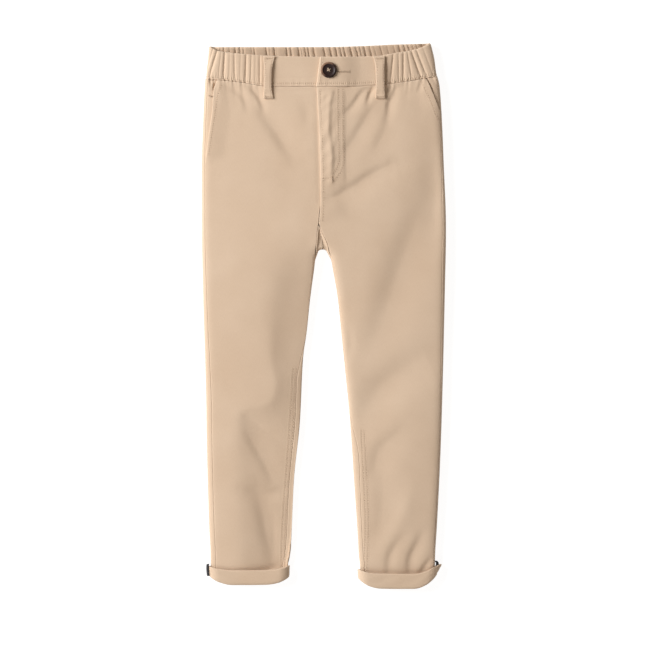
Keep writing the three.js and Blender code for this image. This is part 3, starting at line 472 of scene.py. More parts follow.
def twill(name, light, dark, rows_run, wale=0.00075):
    """Brushed cotton twill: diagonal wales, slubby yarns, soft mottling, pressed-in stitch lines with fine
    puckers across them, and worn folds. rows_run says along which way of the cloth its stitch rows run."""
    material = bpy.data.materials.new(name)
    material.use_nodes = True
    tree = material.node_tree
    shader = tree.nodes["Principled BSDF"]
    uv = add_node(tree, "ShaderNodeUVMap", uv_map="cloth").outputs["UV"]
    place = add_node(tree, "ShaderNodeTexCoord").outputs["Object"]
    wales = add_node(tree, "ShaderNodeTexWave", wave_type="BANDS", bands_direction="DIAGONAL")
    wales.inputs["Scale"].default_value = 0.444 / wale
    wales.inputs["Distortion"].default_value = 1.2
    wales.inputs["Detail"].default_value = 1.0
    wales.inputs["Detail Scale"].default_value = 2.0
    tree.links.new(uv, wales.inputs["Vector"])
    stretch = add_node(tree, "ShaderNodeMapping")
    stretch.inputs["Scale"].default_value = (1.0, 0.18, 1.0)
    tree.links.new(uv, stretch.inputs["Vector"])
    yarns = noise(tree, stretch.outputs["Vector"], 1900, 2)
    mottle = noise(tree, place, 26, 4)
    patches = noise(tree, place, 7, 2)
    stitch = add_node(tree, "ShaderNodeAttribute", attribute_name="stitch").outputs["Fac"]
    groove = add_node(tree, "ShaderNodeMapRange", interpolation_type="SMOOTHSTEP")
    groove.inputs["From Max"].default_value = 1.5
    tree.links.new(stitch, groove.inputs["Value"])
    fold = add_node(tree, "ShaderNodeAttribute", attribute_name="edge").outputs["Fac"]
    worn = add_node(tree, "ShaderNodeMapRange", interpolation_type="SMOOTHSTEP")
    worn.inputs["From Max"].default_value = 1.6
    worn.inputs["To Min"].default_value = 0.35
    worn.inputs["To Max"].default_value = 0.0
    tree.links.new(fold, worn.inputs["Value"])
    tone = arithmetic(tree, "MULTIPLY", arithmetic(tree, "ADD", mottle, patches), 0.5)
    for pattern, strength in ((yarns, 0.5), (wales.outputs["Fac"], 0.16)):
        centred = arithmetic(tree, "SUBTRACT", pattern, 0.5)
        tone = arithmetic(tree, "ADD", tone, arithmetic(tree, "MULTIPLY", centred, strength))
    tone = arithmetic(tree, "ADD", tone, worn.outputs["Result"])
    pressed = arithmetic(tree, "MULTIPLY", arithmetic(tree, "SUBTRACT", 1.0, groove.outputs["Result"]), 0.06)
    tone = arithmetic(tree, "SUBTRACT", tone, pressed)
    ramp = add_node(tree, "ShaderNodeValToRGB")
    ramp.color_ramp.elements[0].position, ramp.color_ramp.elements[1].position = 0.15, 0.85
    ramp.color_ramp.elements[0].color, ramp.color_ramp.elements[1].color = (*dark, 1), (*light, 1)
    tree.links.new(tone, ramp.inputs["Fac"])
    tree.links.new(ramp.outputs["Color"], shader.inputs["Base Color"])
    relief = arithmetic(tree, "MULTIPLY", wales.outputs["Fac"], 0.00004)
    for pattern, height in ((yarns, 0.00005), (mottle, 0.0004), (groove.outputs["Result"], 0.00018)):
        relief = arithmetic(tree, "ADD", relief, arithmetic(tree, "MULTIPLY", pattern, height))
    drawn = add_node(tree, "ShaderNodeMapRange", interpolation_type="SMOOTHSTEP")
    drawn.inputs["From Min"].default_value, drawn.inputs["From Max"].default_value = 0.4, 2.4
    drawn.inputs["To Min"].default_value, drawn.inputs["To Max"].default_value = 0.0002, 0.0
    tree.links.new(stitch, drawn.inputs["Value"])
    puckers = add_node(tree, "ShaderNodeTexWave", wave_type="BANDS", bands_direction=rows_run)
    puckers.inputs["Scale"].default_value = 0.314 / 0.0022
    puckers.inputs["Distortion"].default_value = 2.2
    puckers.inputs["Detail Scale"].default_value = 0.8
    tree.links.new(uv, puckers.inputs["Vector"])
    across_rows = arithmetic(tree, "MULTIPLY", puckers.outputs["Fac"], drawn.outputs["Result"])
    relief = arithmetic(tree, "ADD", relief, across_rows)
    bump = add_node(tree, "ShaderNodeBump")
    bump.inputs["Distance"].default_value = 1.0
    tree.links.new(relief, bump.inputs["Height"])
    tree.links.new(bump.outputs["Normal"], shader.inputs["Normal"])
    shader.inputs["Roughness"].default_value = 0.88
    shader.inputs["Specular IOR Level"].default_value = 0.25
    shader.inputs["Sheen Weight"].default_value = 0.2
    shader.inputs["Sheen Roughness"].default_value = 0.5
    shader.inputs["Sheen Tint"].default_value = (1.0, 0.96, 0.92, 1)
    return material


SAND_LIGHT = (0.715, 0.552, 0.412)
SAND_DARK = (0.61, 0.447, 0.316)
sand_twill = twill("sand_twill", SAND_LIGHT, SAND_DARK, "Y")

FAN_ENDS = {"at": [0, 1, 2, 3], "end": [2.5, 10.5, 20.5, 30.5]}
FAN_ROWS = 22


def over_cloth(side, layer, top):
    """Gives the points of the cloth's outer face over places that lie in a panel's rows."""
    def place(x, level, t):
        down = row_down(side, layer, x, level)
        return np.stack([x, TOP_Y - down, face(x, down, top)], axis=-1)
    return place


def back_lines(side, levels, end_x):
    """Rows from the outseam round the folded side and along the underside to end_x, as points in mm."""
    seam, edge = (met(side, "back", at, levels) for at in (outseam, outer_edge))
    over = run((seam, levels), (edge, levels), over_cloth(side, "back", 1))
    under = run((edge, levels), (end_x, levels), over_cloth(side, "back", -1))
    return np.concatenate([over, under[:, 1:]], axis=1)


def back_stops(length):
    near = HALF_GAP + np.concatenate([EDGE_STOPS, np.arange(1.8, 27, 0.9)])
    return np.concatenate([near, np.linspace(near[-1], length - EDGE_STOPS[-1], 34)[1:-1],
                           length - EDGE_STOPS[::-1]])


def over_stops(length):
    return np.concatenate([np.linspace(0, length - HALF_GAP - EDGE_STOPS[-1], 24)[1:-1],
                           length - HALF_GAP - EDGE_STOPS[::-1]])


def fork_line(side, i):
    """From the underside up round the arch between the legs and on to the fork's seam with the front."""
    turn = math.pi / 2 * (1 - i / (FAN_ROWS - 1))
    (arch_x, arch_down), out = arch_point(turn if side == "left" else math.pi - turn)
    centre = SIGN[side] * HALF_GAP if i == 0 else 0
    down = FORK_TOP + float(read(FAN_ENDS, "end", 3 * i / (FAN_ROWS - 1)))
    seams = [float(inseam(each, down)) for each in ("left", "right")]
    if i == 0:
        end_x = sum(seams) / 2 + centre
    else:
        end_x = seams[side == "right"] - SIGN[side] * FORK_CLEAR
    start = (arch_x + centre + out[0] * ROLL, arch_down + out[1] * ROLL)
    edge = (arch_x + centre, arch_down)
    dip = FORK_DIP * math.sin(turn)
    under = run(start, edge, lambda x, down, t: np.stack([x, TOP_Y - down, face(x, down, -1)], axis=-1))
    upper = run(edge, (end_x, down), lambda x, down, t: np.stack([
        x, TOP_Y - down, face(x, down, 1) - dip * np.sin(np.pi * t)], axis=-1))
    return start, np.vstack([under, upper[1:]])


def leg_lines(side, levels):
    """Rows from the underside round the inner edge of a leg to the inseam."""
    edge, seam = (met(side, "back", at, levels) for at in (inner_edge, inseam))
    start = edge + SIGN[side] * ROLL
    under = run((start, levels), (edge, levels), over_cloth(side, "back", -1))
    upper = run((edge, levels), (seam, levels), over_cloth(side, "back", 1))
    return start, np.concatenate([under, upper[:, 1:]], axis=1)


def back_panel(side):
    waist, legs = np.linspace(BACK_SEAM_MID, 200, 62), np.linspace(LEGS_PART, hem_end(side), 150)
    centre = np.full(len(waist), MIDDLE + SIGN[side] * HALF_GAP)
    plain = [pick(line, back_stops) for line in back_lines(side, waist, centre)]
    missing = np.full((len(over_stops(30.0)), 3), np.nan)
    rows = [np.vstack([row, missing]) for row in plain]
    forks = [fork_line(side, i) for i in range(FAN_ROWS)]
    starts = np.array([start for start, over in forks])
    for line, (start, over) in zip(back_lines(side, starts[:, 1], starts[:, 0]), forks):
        rows.append(np.vstack([pick(line, back_stops), pick(over, over_stops)]))
    starts, overs = leg_lines(side, legs)
    for line, over in zip(back_lines(side, legs, starts), overs):
        rows.append(np.vstack([pick(line, back_stops), pick(over, over_stops)]))
    grid = np.array(rows)
    whole = ~np.isnan(grid[..., 0])
    cells = whole[:-1, :-1] & whole[:-1, 1:] & whole[1:, :-1] & whole[1:, 1:]
    torso, plain_columns = len(waist), len(plain[0])
    filled = grid.copy()
    filled[:torso, plain_columns:] = filled[:torso, plain_columns - 1:plain_columns]
    turn = -SIGN[side]
    across = np.linalg.norm(np.diff(filled, axis=1), axis=2)
    along = np.concatenate([np.zeros((len(grid), 1)), np.cumsum(across, axis=1)], axis=1)
    edge = along + 0.0
    ends = np.where(np.arange(len(grid)) < torso, plain_columns - 1, grid.shape[1] - 1)
    edge = np.minimum(edge, along[np.arange(len(grid)), ends][:, None] - along)
    normal = grid_normals(filled, turn)
    normal[:torso, plain_columns - 1] = normal[:torso, plain_columns - 2]
    over = rounding(edge, CLOTH)[..., None]
    outer, inner = filled - normal * over, filled - normal * (CLOTH - over)
    uv = np.stack([along, TOP_Y - filled[..., 1]], axis=-1) / 1000
    distance = np.where(np.isnan(grid[..., 0]), 9.0, edge)
    marks = {"stitch": np.full(edge.shape, 9.0), "edge": np.clip(distance, 0, 9)}
    piece = cloth_mesh(f"back_panel_{side}", outer, inner, turn, uv, cells, marks)
    piece.data.materials.append(sand_twill)
    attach(piece, "root")
    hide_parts(f"back_{side}")
    return piece


for side in ("left", "right"):
    back_panel(side)

# Front panels
# Two pieces of the same twill, cut narrower than the back. The right one laps over the left at the fly, whose
# facing is held by a double curved row of stitches. The slanted pocket mouths are folded edges.
LAP_STEP = CLOTH + SEAM_GAP
FLY_EDGE = {"down": [49, 112, 171, FORK_TOP], "x": [-8.0, -4.8, -3.7, -5.6]}
FLY_UNDERLAP = {"down": [49, 150, 182], "width": [6, 6, -SEAM_GAP]}
FLY_RISE = {"down": [49, 182, FORK_TOP], "step": [LAP_STEP, LAP_STEP, 0]}
FLY_FLAT_TO, FLY_SINKS_BY = 4.0, 30.0
ZIP_RIDGE = {
    "down": [49, 55, 66, 80, 95, 110, 125, 138, 156],
    "x": [10.4, 9.4, 6.6, 5.9, 5.4, 7.4, 9.2, 8.4, 9.0],
}
POCKET_MOUTHS = {
    "left": {"down": [36, 51, 74, 108, 134], "x": [-116.0, -121.0, -122.9, -127.7, -131.0]},
    "right": {"down": [36, 51, 76, 80], "x": [111.5, 118.2, 127.8, 128.9]},
}
FLY_STITCHES = [
    [(15.6, 50), (15.7, 85), (16.3, 112), (16.8, 126), (15.0, 135), (11.5, 143), (9.6, 149)],
    [(20.6, 50), (20.9, 82), (21.5, 112), (21.7, 130), (20.0, 139), (15.6, 146), (10.6, 151.5)],
    [(-2.8, 149.2), (3.0, 149.0), (8.6, 148.2)],
]
PANEL_STITCHES = {
    "left": [[(-113.0, 45.5), (-117.2, 60), (-119.6, 78), (-123.2, 100), (-126.8, 124)],
             [(-34.0, 357), (-39.4, 443), (-45.6, 524), (-47.4, 579)],
             [(-30.6, 357), (-35.8, 443), (-42.0, 524), (-43.8, 579)]],
    "right": [*FLY_STITCHES,
              [(-4.6, 52), (-1.6, 112), (-0.4, 171), (-1.2, 196)],
              [(106.7, 42.5), (116.6, 63), (125.2, 85)],
              [(44.0, 425), (48.0, 500), (48.8, 535), (47.0, 581)],
              [(40.6, 425), (44.4, 500), (45.2, 535), (43.6, 581)]],
}


def fly_lap(x, down):
    """The right front stands one cloth higher over the fly, and its facing and zip make a low wavy ridge."""
    lap = read(FLY_RISE, "step", down) * (1 - smooth((x - FLY_FLAT_TO) / (FLY_SINKS_BY - FLY_FLAT_TO)))
    ridge_x = read(ZIP_RIDGE, "x", down)
    along = smooth((down - 50) / 8) * (1 - smooth((down - 148) / 12))
    beside = x - ridge_x
    half_width = np.where(beside < 0, 4.2, 1.5)
    zip_ridge = along * (1.0 + 0.2 * np.sin(down / 6.3)) * np.exp(-(beside / half_width) ** 2)
    facing = along * 0.45 * smooth((x + 4) / 3) * (1 - smooth((x - 21.5) / 2.2))
    held = smooth((x + 5) / 3) * (1 - smooth((x - 11) / 5))
    swell = 0.5 + 0.5 * np.sin(down / 8.7 + 1.9)
    ripples = along * (0.08 + 0.2 * swell) * np.sin(down / 2.6 + 0.4 * x + 2.2 * np.sin(down / 11.0)) * held
    return lap + zip_ridge + facing + ripples


def mouth_open(side, down):
    """1 along most of a pocket mouth, falling to 0 at both its ends."""
    begin = read(WAIST_SEAM, "front", SIGN[side] * 118.0)
    return smooth((down - begin) / 9) * smooth((POCKET_MOUTHS[side]["down"][-1] - down) / 14)


def from_mouth(side, x, down):
    """How far inside the pocket mouth's edge a place lies."""
    return abs(read(POCKET_MOUTHS[side], "x", down)) - abs(x)


def front_level(side, x, down):
    """The front stands one cloth higher over its pocket facing, and over the fly."""
    raised = LAP_STEP * mouth_open(side, down) * (1 - smooth(from_mouth(side, x, down) / 24))
    level = face(x, down, 1) + np.where(down < POCKET_MOUTHS[side]["down"][-1], raised, 0)
    return level + fly_lap(x, down) if side == "right" else level


def front_outer(side, down):
    mouth = POCKET_MOUTHS[side]
    seam = outseam(side, down)
    inside = np.minimum(abs(read(mouth, "x", down)), abs(seam)) * SIGN[side]
    return np.where(down >= mouth["down"][-1], seam, inside)


def front_inner(side, down):
    if down >= FORK_TOP:
        return inseam(side, down)
    return read(FLY_EDGE, "x", down) + (read(FLY_UNDERLAP, "width", down) if side == "left" else 0)


def front_panel(side):
    levels = np.concatenate([SEAM_MID + EDGE_STOPS[:-1], np.linspace(SEAM_MID + 0.9, hem_end(side), 300)])
    outer, inner = (met(side, "front", at, levels) for at in (front_outer, front_inner))
    lines = run((outer, levels), (inner, levels), over_cloth(side, "front", 1))
    grid = np.array([pick(line, lambda length: spaced(length, 82)) for line in lines])
    grid[..., 2] = front_level(side, grid[..., 0], TOP_Y - grid[..., 1])
    turn = SIGN[side]
    across = np.concatenate([np.zeros((len(grid), 1)), np.cumsum(np.linalg.norm(
        np.diff(grid, axis=1), axis=2), axis=1)], axis=1)
    sides = np.minimum(across, across[:, -1:] - across)
    edge = np.minimum(sides, (levels - SEAM_MID)[:, None])
    outer, inner = walls(grid, turn, CLOTH, edge)
    x, down = grid[..., 0], TOP_Y - grid[..., 1]
    stitched = [abs(to_line(x, down, flowing(line))[0]) for line in PANEL_STITCHES[side]]
    uv = np.stack([across, down], axis=-1) / 1000
    marks = {"stitch": np.clip(np.min(stitched, axis=0), 0, 9), "edge": np.clip(edge, 0, 9)}
    piece = cloth_mesh(f"front_panel_{side}", outer, inner, turn, uv, None, marks)
    piece.data.materials.append(sand_twill)
    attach(piece, "root")
    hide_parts(f"front_{side}")
    return piece


for side in ("left", "right"):
    front_panel(side)

# Topstitching of the panels
# Lockstitch rows in sand-coloured thread: the curved double row that holds the fly facing, the row beside the
# fly's edge, the pocket mouths' row and the double row that flattens each leg's inseam.
THREAD = 0.26  # half the width of a stitch
STITCH, STITCH_GAP = 2.3, 0.75
sand_thread = bpy.data.materials.new("sand_thread")
sand_thread.use_nodes = True
thread_tree = sand_thread.node_tree
thread_shader = thread_tree.nodes["Principled BSDF"]
thread_place = add_node(thread_tree, "ShaderNodeTexCoord").outputs["Object"]
strands = noise(thread_tree, thread_place, 2600, 2)
thread_tones = add_node(thread_tree, "ShaderNodeValToRGB")
thread_tones.color_ramp.elements[0].color = (0.50, 0.36, 0.25, 1)
thread_tones.color_ramp.elements[1].color = (0.66, 0.50, 0.36, 1)
thread_tones.color_ramp.elements[0].position, thread_tones.color_ramp.elements[1].position = 0.3, 0.7
thread_tree.links.new(strands, thread_tones.inputs["Fac"])
thread_tree.links.new(thread_tones.outputs["Color"], thread_shader.inputs["Base Color"])
thread_bump = add_node(thread_tree, "ShaderNodeBump")
thread_bump.inputs["Distance"].default_value = 0.0001
thread_tree.links.new(strands, thread_bump.inputs["Height"])
thread_tree.links.new(thread_bump.outputs["Normal"], thread_shader.inputs["Normal"])
thread_shader.inputs["Roughness"].default_value = 0.6
thread_shader.inputs["Sheen Weight"].default_value = 0.2


def stitches(line, level_at, stitch=STITCH, gap=STITCH_GAP, sink=0.05):
    """Lies stitches end to end along a line in plan: their middles, directions and the cloth's normals."""
    x, down = flowing(line, 160).T
    walked = np.concatenate([[0], np.cumsum(np.hypot(np.diff(x), np.diff(down)))])
    count = max(1, int((walked[-1] + gap) / (stitch + gap)))
    middles = (np.arange(count) + 0.5) * walked[-1] / count

    def at(distance, off_x=0.0, off_down=0.0):
        px, pd = np.interp(distance, walked, x) + off_x, np.interp(distance, walked, down) + off_down
        return np.stack([px, TOP_Y - pd, level_at(px, pd)], axis=-1)

    centre = at(middles)
    along = at(np.minimum(middles + stitch / 2, walked[-1])) - at(np.maximum(middles - stitch / 2, 0))
    normal = np.cross(at(middles, 0.4) - at(middles, -0.4), at(middles, 0, -0.4) - at(middles, 0, 0.4))
    normal /= np.linalg.norm(normal, axis=1, keepdims=True)
    along /= np.linalg.norm(along, axis=1, keepdims=True)
    return centre - normal * sink, along, normal


def thread_mesh(name, rows, length=STITCH, radius=THREAD):
    """One mesh of plump stitches, each a six-sided lozenge whose ends dive into the cloth."""
    centre, along, normal = (np.concatenate(part) for part in zip(*rows))
    side = np.cross(along, normal)
    stations = np.array([-0.5, -0.36, 0.0, 0.36, 0.5])
    girth = np.array([0.35, 0.9, 1.0, 0.9, 0.35])
    lift = np.array([-0.3, 0.04, 0.18, 0.04, -0.3])
    angle = np.arange(6) * math.pi / 3
    rings = (centre[:, None, None] + along[:, None, None] * (stations * length)[:, None, None]
             + normal[:, None, None] * (lift[:, None] + radius * girth[:, None] * np.sin(angle))[..., None]
             + side[:, None, None] * (radius * girth[:, None] * np.cos(angle))[..., None])
    faces = [[r * 6 + k, r * 6 + (k + 1) % 6, (r + 1) * 6 + (k + 1) % 6, (r + 1) * 6 + k]
             for r in range(4) for k in range(6)]
    ends = [[5, 4, 3, 2, 1, 0], [24 + k for k in range(6)]]
    polygons = [[v + 30 * i for v in face] for i in range(len(centre)) for face in faces + ends]
    mesh = bpy.data.meshes.new(name)
    mesh.from_pydata((rings.reshape(-1, 3) / 1000).tolist(), [], polygons)
    mesh.shade_smooth()
    piece = bpy.data.objects.new(name, mesh)
    bpy.context.scene.collection.objects.link(piece)
    piece.data.materials.append(sand_thread)
    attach(piece, "root")
    return piece


for side in ("left", "right"):
    level_at = lambda x, down, side=side: front_level(side, x, down)
    thread_mesh(f"front_stitches_{side}", [stitches(line, level_at) for line in PANEL_STITCHES[side]])

# Bartacks: short dense rows across the ends of the fly stitching and the pocket mouths
FLY_TACKS = [[(9.0, 146.5), (9.4, 153.5)]]
POCKET_TACK = [(-127.4, 58.2), (-122.2, 58.8)]


def tack(line, level_at, rows=3, spacing=0.55):
    """A bartack: a few rows of short stitches lying close beside each other across a line."""
    (x0, down0), (x1, down1) = line
    length = math.hypot(x1 - x0, down1 - down0)
    across = np.array([down0 - down1, x1 - x0]) / length
    count = max(4, int(length / 0.6))
    shares = (np.arange(count) + 0.5) / count
    places = np.array([x0, down0]) + np.array([x1 - x0, down1 - down0]) * shares[:, None]
    half = rows * spacing / 2
    return [stitches([place - across * half, place, place + across * half], level_at, 2 * half, 0.0, 0.0)
            for place in places]


right_level = lambda x, down: front_level("right", x, down)
thread_mesh("fly_tacks", [row for line in FLY_TACKS for row in tack(line, right_level)], 1.7, 0.24)
left_level = lambda x, down: front_level("left", x, down)
thread_mesh("pocket_tack", tack(POCKET_TACK, left_level), 1.7, 0.24)

# Pocket facings
# A strip of the same twill behind each slanted pocket mouth, caught in the side seam and the waist seam.
FACING_REACH = 9.0
POCKET_GAPE = {"left": 2.2, "right": 1.0}


def pocket_facing(side):
    mouth = POCKET_MOUTHS[side]
    levels = np.linspace(SEAM_MID, mouth["down"][-1] + 4, 60)
    under = read(mouth, "x", levels) - SIGN[side] * FACING_REACH
    seam = met(side, "front", outseam, levels)
    lines = run((seam, levels), (under, levels), over_cloth(side, "front", 1))
    grid = np.array([pick(line, lambda length: spaced(length, 20, 0, 0)) for line in lines])
    turn = SIGN[side]
    across = np.concatenate([np.zeros((len(grid), 1)), np.cumsum(np.linalg.norm(
        np.diff(grid, axis=1), axis=2), axis=1)], axis=1)
    edge = np.minimum(across, across[:, -1:] - across)
    down = TOP_Y - grid[..., 1]
    inside = from_mouth(side, grid[..., 0], down)
    gape = POCKET_GAPE[side] * np.exp(-((down - 47.5) / 4.5) ** 2 - (inside / 1.5) ** 2)
    wide_open = mouth_open(side, down)
    sink = LAP_STEP * (wide_open * smooth(inside / 8) + (1 - wide_open) * smooth(across / 3.5)) + gape
    outer, inner = walls(grid, turn, CLOTH, edge, sink[..., None])
    uv = np.stack([across, TOP_Y - grid[..., 1]], axis=-1) / 1000
    marks = {"stitch": np.full(edge.shape, 9.0), "edge": np.clip(edge, 0, 9)}
    piece = cloth_mesh(f"facing_{side}", outer, inner, turn, uv, None, marks)
    piece.data.materials.append(sand_twill)
    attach(piece, "root")
    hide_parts(f"pocket_facing_{side}")
    return piece


for side in ("left", "right"):
    pocket_facing(side)

# Flat waistband at the front
# Doubled twill over interlining, folded at its top edge and stitched down just above the waist seam. The
# right piece ends in a square lap with the buttonhole, over the left piece.
BAND = 2.6
BAND_STEP = BAND + SEAM_GAP
WAIST_TOP = {
    "x": [-127, -115, -92, -60, 0, 55, 74, 101, 118],
    "front": [3.6, 9.0, 11.8, 14.1, 15.4, 14.8, 11.8, 7.0, 0],
    "back": [3.6, 4.2, 4.2, 4.2, 4.2, 2.6, 1.6, 0.8, 0],
}
BAND_EDGE = {"seam": -8.6, "top": -4.4}
BAND_UNDERLAP_TO = 15.0
BAND_FLAT_TO, BAND_SINKS_BY = 17.0, 42.0
FLAT_BAND = {"left": -61.0, "right": 60.0}
BUTTONHOLE = {"from": 4.0, "to": 27.5, "down": 31.9, "half": 0.06}
BAND_STITCH_UP = 3.6
band_twill = twill("band_twill", SAND_LIGHT, SAND_DARK, "X")


def band_rise(x):
    return BAND_STEP * (1 - smooth((x - BAND_FLAT_TO) / (BAND_SINKS_BY - BAND_FLAT_TO)))


def band_down(x, up, layer="front"):
    seam, top = read(WAIST_SEAM, layer, x) - 2 * HALF_GAP, read(WAIST_TOP, layer, x)
    return seam + (top - seam) * up


def flat_band_level(side, x, down):
    """The band is a little fuller between its stitched foot and its folded top, with faint cross ripples."""
    up = (read(WAIST_SEAM, "front", x) - down) / 33
    full = 0.28 * np.sin(np.pi * np.clip((up - 0.12) / 0.86, 0, 1)) ** 0.7
    drag = 0.12 * np.sin(0.62 * x + 2 * np.sin(0.21 * x)) * np.exp(-((up - 0.1) / 0.14) ** 2)
    fold = 0.3 * np.exp(-((down - 39.5 - 0.02 * x) / 1.6) ** 2) * smooth((-8 - x) / 6) * smooth((x + 58) / 12)
    soft = 0.16 * np.sin(0.11 * x + 0.09 * down) * np.sin(0.05 * x - 0.13 * down + 1.0)
    level = face(x, down, 1) + full + drag + soft - fold - 0.28
    return level + band_rise(x) if side == "right" else level


def across_band(height, inside):
    """Shares of a strip's height from edge to edge, crowded at both edges."""
    return np.concatenate([EDGE_STOPS / height, inside, 1 - EDGE_STOPS[::-1] / height])


def flat_band(side):
    seam = SEAM_MID - HALF_GAP
    height = seam - float(read(WAIST_TOP, "front", BUTTONHOLE["from"]))
    if side == "left":
        ups = across_band(height, np.linspace(0.03, 0.97, 36)[1:-1])
        x = np.concatenate([FLAT_BAND["left"] + HALF_GAP + EDGE_STOPS, np.linspace(-59.5, 14, 74)[:-1],
                            BAND_UNDERLAP_TO - EDGE_STOPS[::-1]])
        x = np.tile(x, (len(ups), 1))
        cells = None
    else:
        slot = (seam - BUTTONHOLE["down"] + np.array([-1, 1]) * BUTTONHOLE["half"]) / height
        below, above = np.linspace(0.03, slot[0], 17)[1:], np.linspace(slot[1], 0.97, 19)[:-1]
        ups = across_band(height, np.concatenate([below, above]))
        end = BAND_EDGE["seam"] + (BAND_EDGE["top"] - BAND_EDGE["seam"]) * ups
        last = FLAT_BAND["right"] - HALF_GAP
        inside = np.concatenate([
            np.linspace(-2.6, BUTTONHOLE["from"], 7),
            np.linspace(4.9, BUTTONHOLE["to"], 24),
            np.linspace(28.5, last - 1.2, 32),
            last - EDGE_STOPS[::-1],
        ])
        x = np.array([np.concatenate([edge + EDGE_STOPS, inside]) for edge in end])
        in_row = (ups[:-1] >= slot[0] - 1e-6) & (ups[1:] <= slot[1] + 1e-6)
        in_column = (x[0, :-1] >= BUTTONHOLE["from"] - 1e-6) & (x[0, 1:] <= BUTTONHOLE["to"] + 1e-6)
        cells = ~(in_row[:, None] & in_column[None, :])
    down = band_down(x, ups[:, None])
    grid = np.stack([x, TOP_Y - down, flat_band_level(side, x, down)], axis=-1)
    from_seam = (ups * height)[:, None]
    edge = np.minimum(np.minimum(from_seam, height - from_seam), np.minimum(x - x[:, :1], x[:, -1:] - x))
    outer, inner = walls(grid, 1.0, BAND, edge)
    foot = abs(from_seam - BAND_STITCH_UP) + 0 * x
    ends = abs(x - x[:, :1] - 3.2) if side == "right" else 9 + 0 * x
    marks = {"stitch": np.minimum(foot, ends), "edge": np.clip(edge, 0, 9)}
    uv = np.stack([x, down], axis=-1) / 1000
    piece = cloth_mesh(f"flat_band_{side}", outer, inner, 1.0, uv, cells, marks)
    piece.data.materials.append(band_twill)
    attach(piece, "root")
    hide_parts(f"waistband_front_{side}")
    return piece


def band_line(x_values, up_mm):
    x_values = np.asarray(x_values, float)
    return np.column_stack([x_values, read(WAIST_SEAM, "front", x_values) - up_mm])


for side in ("left", "right"):
    flat_band(side)
    level_at = lambda x, down, side=side: flat_band_level(side, x, down)
    if side == "left":
        lines = [band_line(np.linspace(-59, -10, 12), BAND_STITCH_UP)]
    else:
        lines = [band_line(np.linspace(-7, 59, 14), BAND_STITCH_UP), [(-5.0, 46.5), (-3.2, 31), (-1.2, 17)]]
    thread_mesh(f"band_stitches_{side}", [stitches(line, level_at) for line in lines])

# Buttonhole
# A slit in the lapped end, its edges covered with dense purl stitches, closed by a bartack at its far end.
PURL_PITCH, PURL_REACH = 0.62, 1.5
hole_level = lambda x, down: flat_band_level("right", x, down)
purl = []
for x in np.arange(BUTTONHOLE["from"] + 1, BUTTONHOLE["to"] + 0.6, PURL_PITCH):
    for way in (-1, 1):
        reaches = (-0.42, PURL_REACH - 0.5)
        near, far = (BUTTONHOLE["down"] + way * (BUTTONHOLE["half"] + reach) for reach in reaches)
        line = [(x, near), (x, (near + far) / 2), (x + 0.1 * way, far)]
        purl.append(stitches(line, hole_level, PURL_REACH, 0, -0.1))
tack_x, tack_half = BUTTONHOLE["to"] + 0.7, 1.6
tack_line = [(tack_x, BUTTONHOLE["down"] - tack_half), (tack_x, BUTTONHOLE["down"] + tack_half)]
purl += tack(tack_line, hole_level)
thread_mesh("buttonhole_purl", purl, PURL_REACH, 0.24)

# Elastic waistband
# A tube of twill round a wide elastic, from one belt loop round the back to the other. The elastic draws the
# cloth into uneven upright gathers, sharp in their valleys, on the outside and on the inside.
GATHER_DEPTH = 1.9
ELASTIC_HEIGHT, ELASTIC_COLUMNS = 33.0, 1080
BAND_FOLDS_AT = 125.0
WAIST_CURL = 5.5  # how far the back of the waist lifts off the table at its top edge
FRONT_GATHERS = [  # x at the band's top and at its foot, and how deep, on the front's side
    (-118.6, -125.0, 1.0), (-114.0, -115.0, 0.35), (-109.9, -109.4, 1.0), (-99.2, -97.0, 0.6),
    (-104.5, -103.0, 0.3), (-92.0, -91.6, 0.3), (-85.8, -85.6, 0.9), (-80.0, -80.0, 0.5),
    (-75.4, -75.2, 0.25), (-70.6, -70.2, 0.6),
    (-66.0, -66.0, 0.4), (64.5, 64.0, 0.5), (69.0, 67.2, 0.4), (77.0, 72.6, 0.75), (82.6, 81.8, 0.5),
    (88.2, 86.6, 0.8), (92.6, 96.0, 0.55), (97.0, 106.0, 1.0), (102.6, 112.0, 0.8), (110.0, 118.5, 0.35),
    (121.0, 123.0, 0.5), (-123.5, -128.5, 0.6),
]
BACK_GATHERS = [  # x and depth of the valleys that show inside the back of the waist
    (-119, 0.5), (-114, 0.6), (-110, 0.8), (-103.8, 0.5), (-97, 0.9), (-92, 1.0), (-88, 0.6), (-79, 0.4),
    (-75.6, 0.7), (-62.3, 1.0), (-58.6, 0.35), (-53.2, 1.0), (-50.8, 0.4), (-39.2, 0.9), (-34.8, 1.0),
    (-26, 1.0), (-23.2, 0.4), (-18.8, 0.7), (-15.1, 0.9), (-8.9, 1.0), (2.6, 1.0), (9.8, 1.0), (16, 1.0),
    (20.8, 0.7), (25.1, 0.9), (32.3, 1.0), (38.6, 0.8), (43, 0.6), (47.9, 1.0), (54.2, 0.7), (58.8, 0.3),
    (66, 0.5), (73.6, 0.35), (81, 0.45), (87, 1.0), (92.8, 0.9), (97.4, 0.8), (102.3, 0.5), (106.7, 0.6),
    (113, 0.6),
]


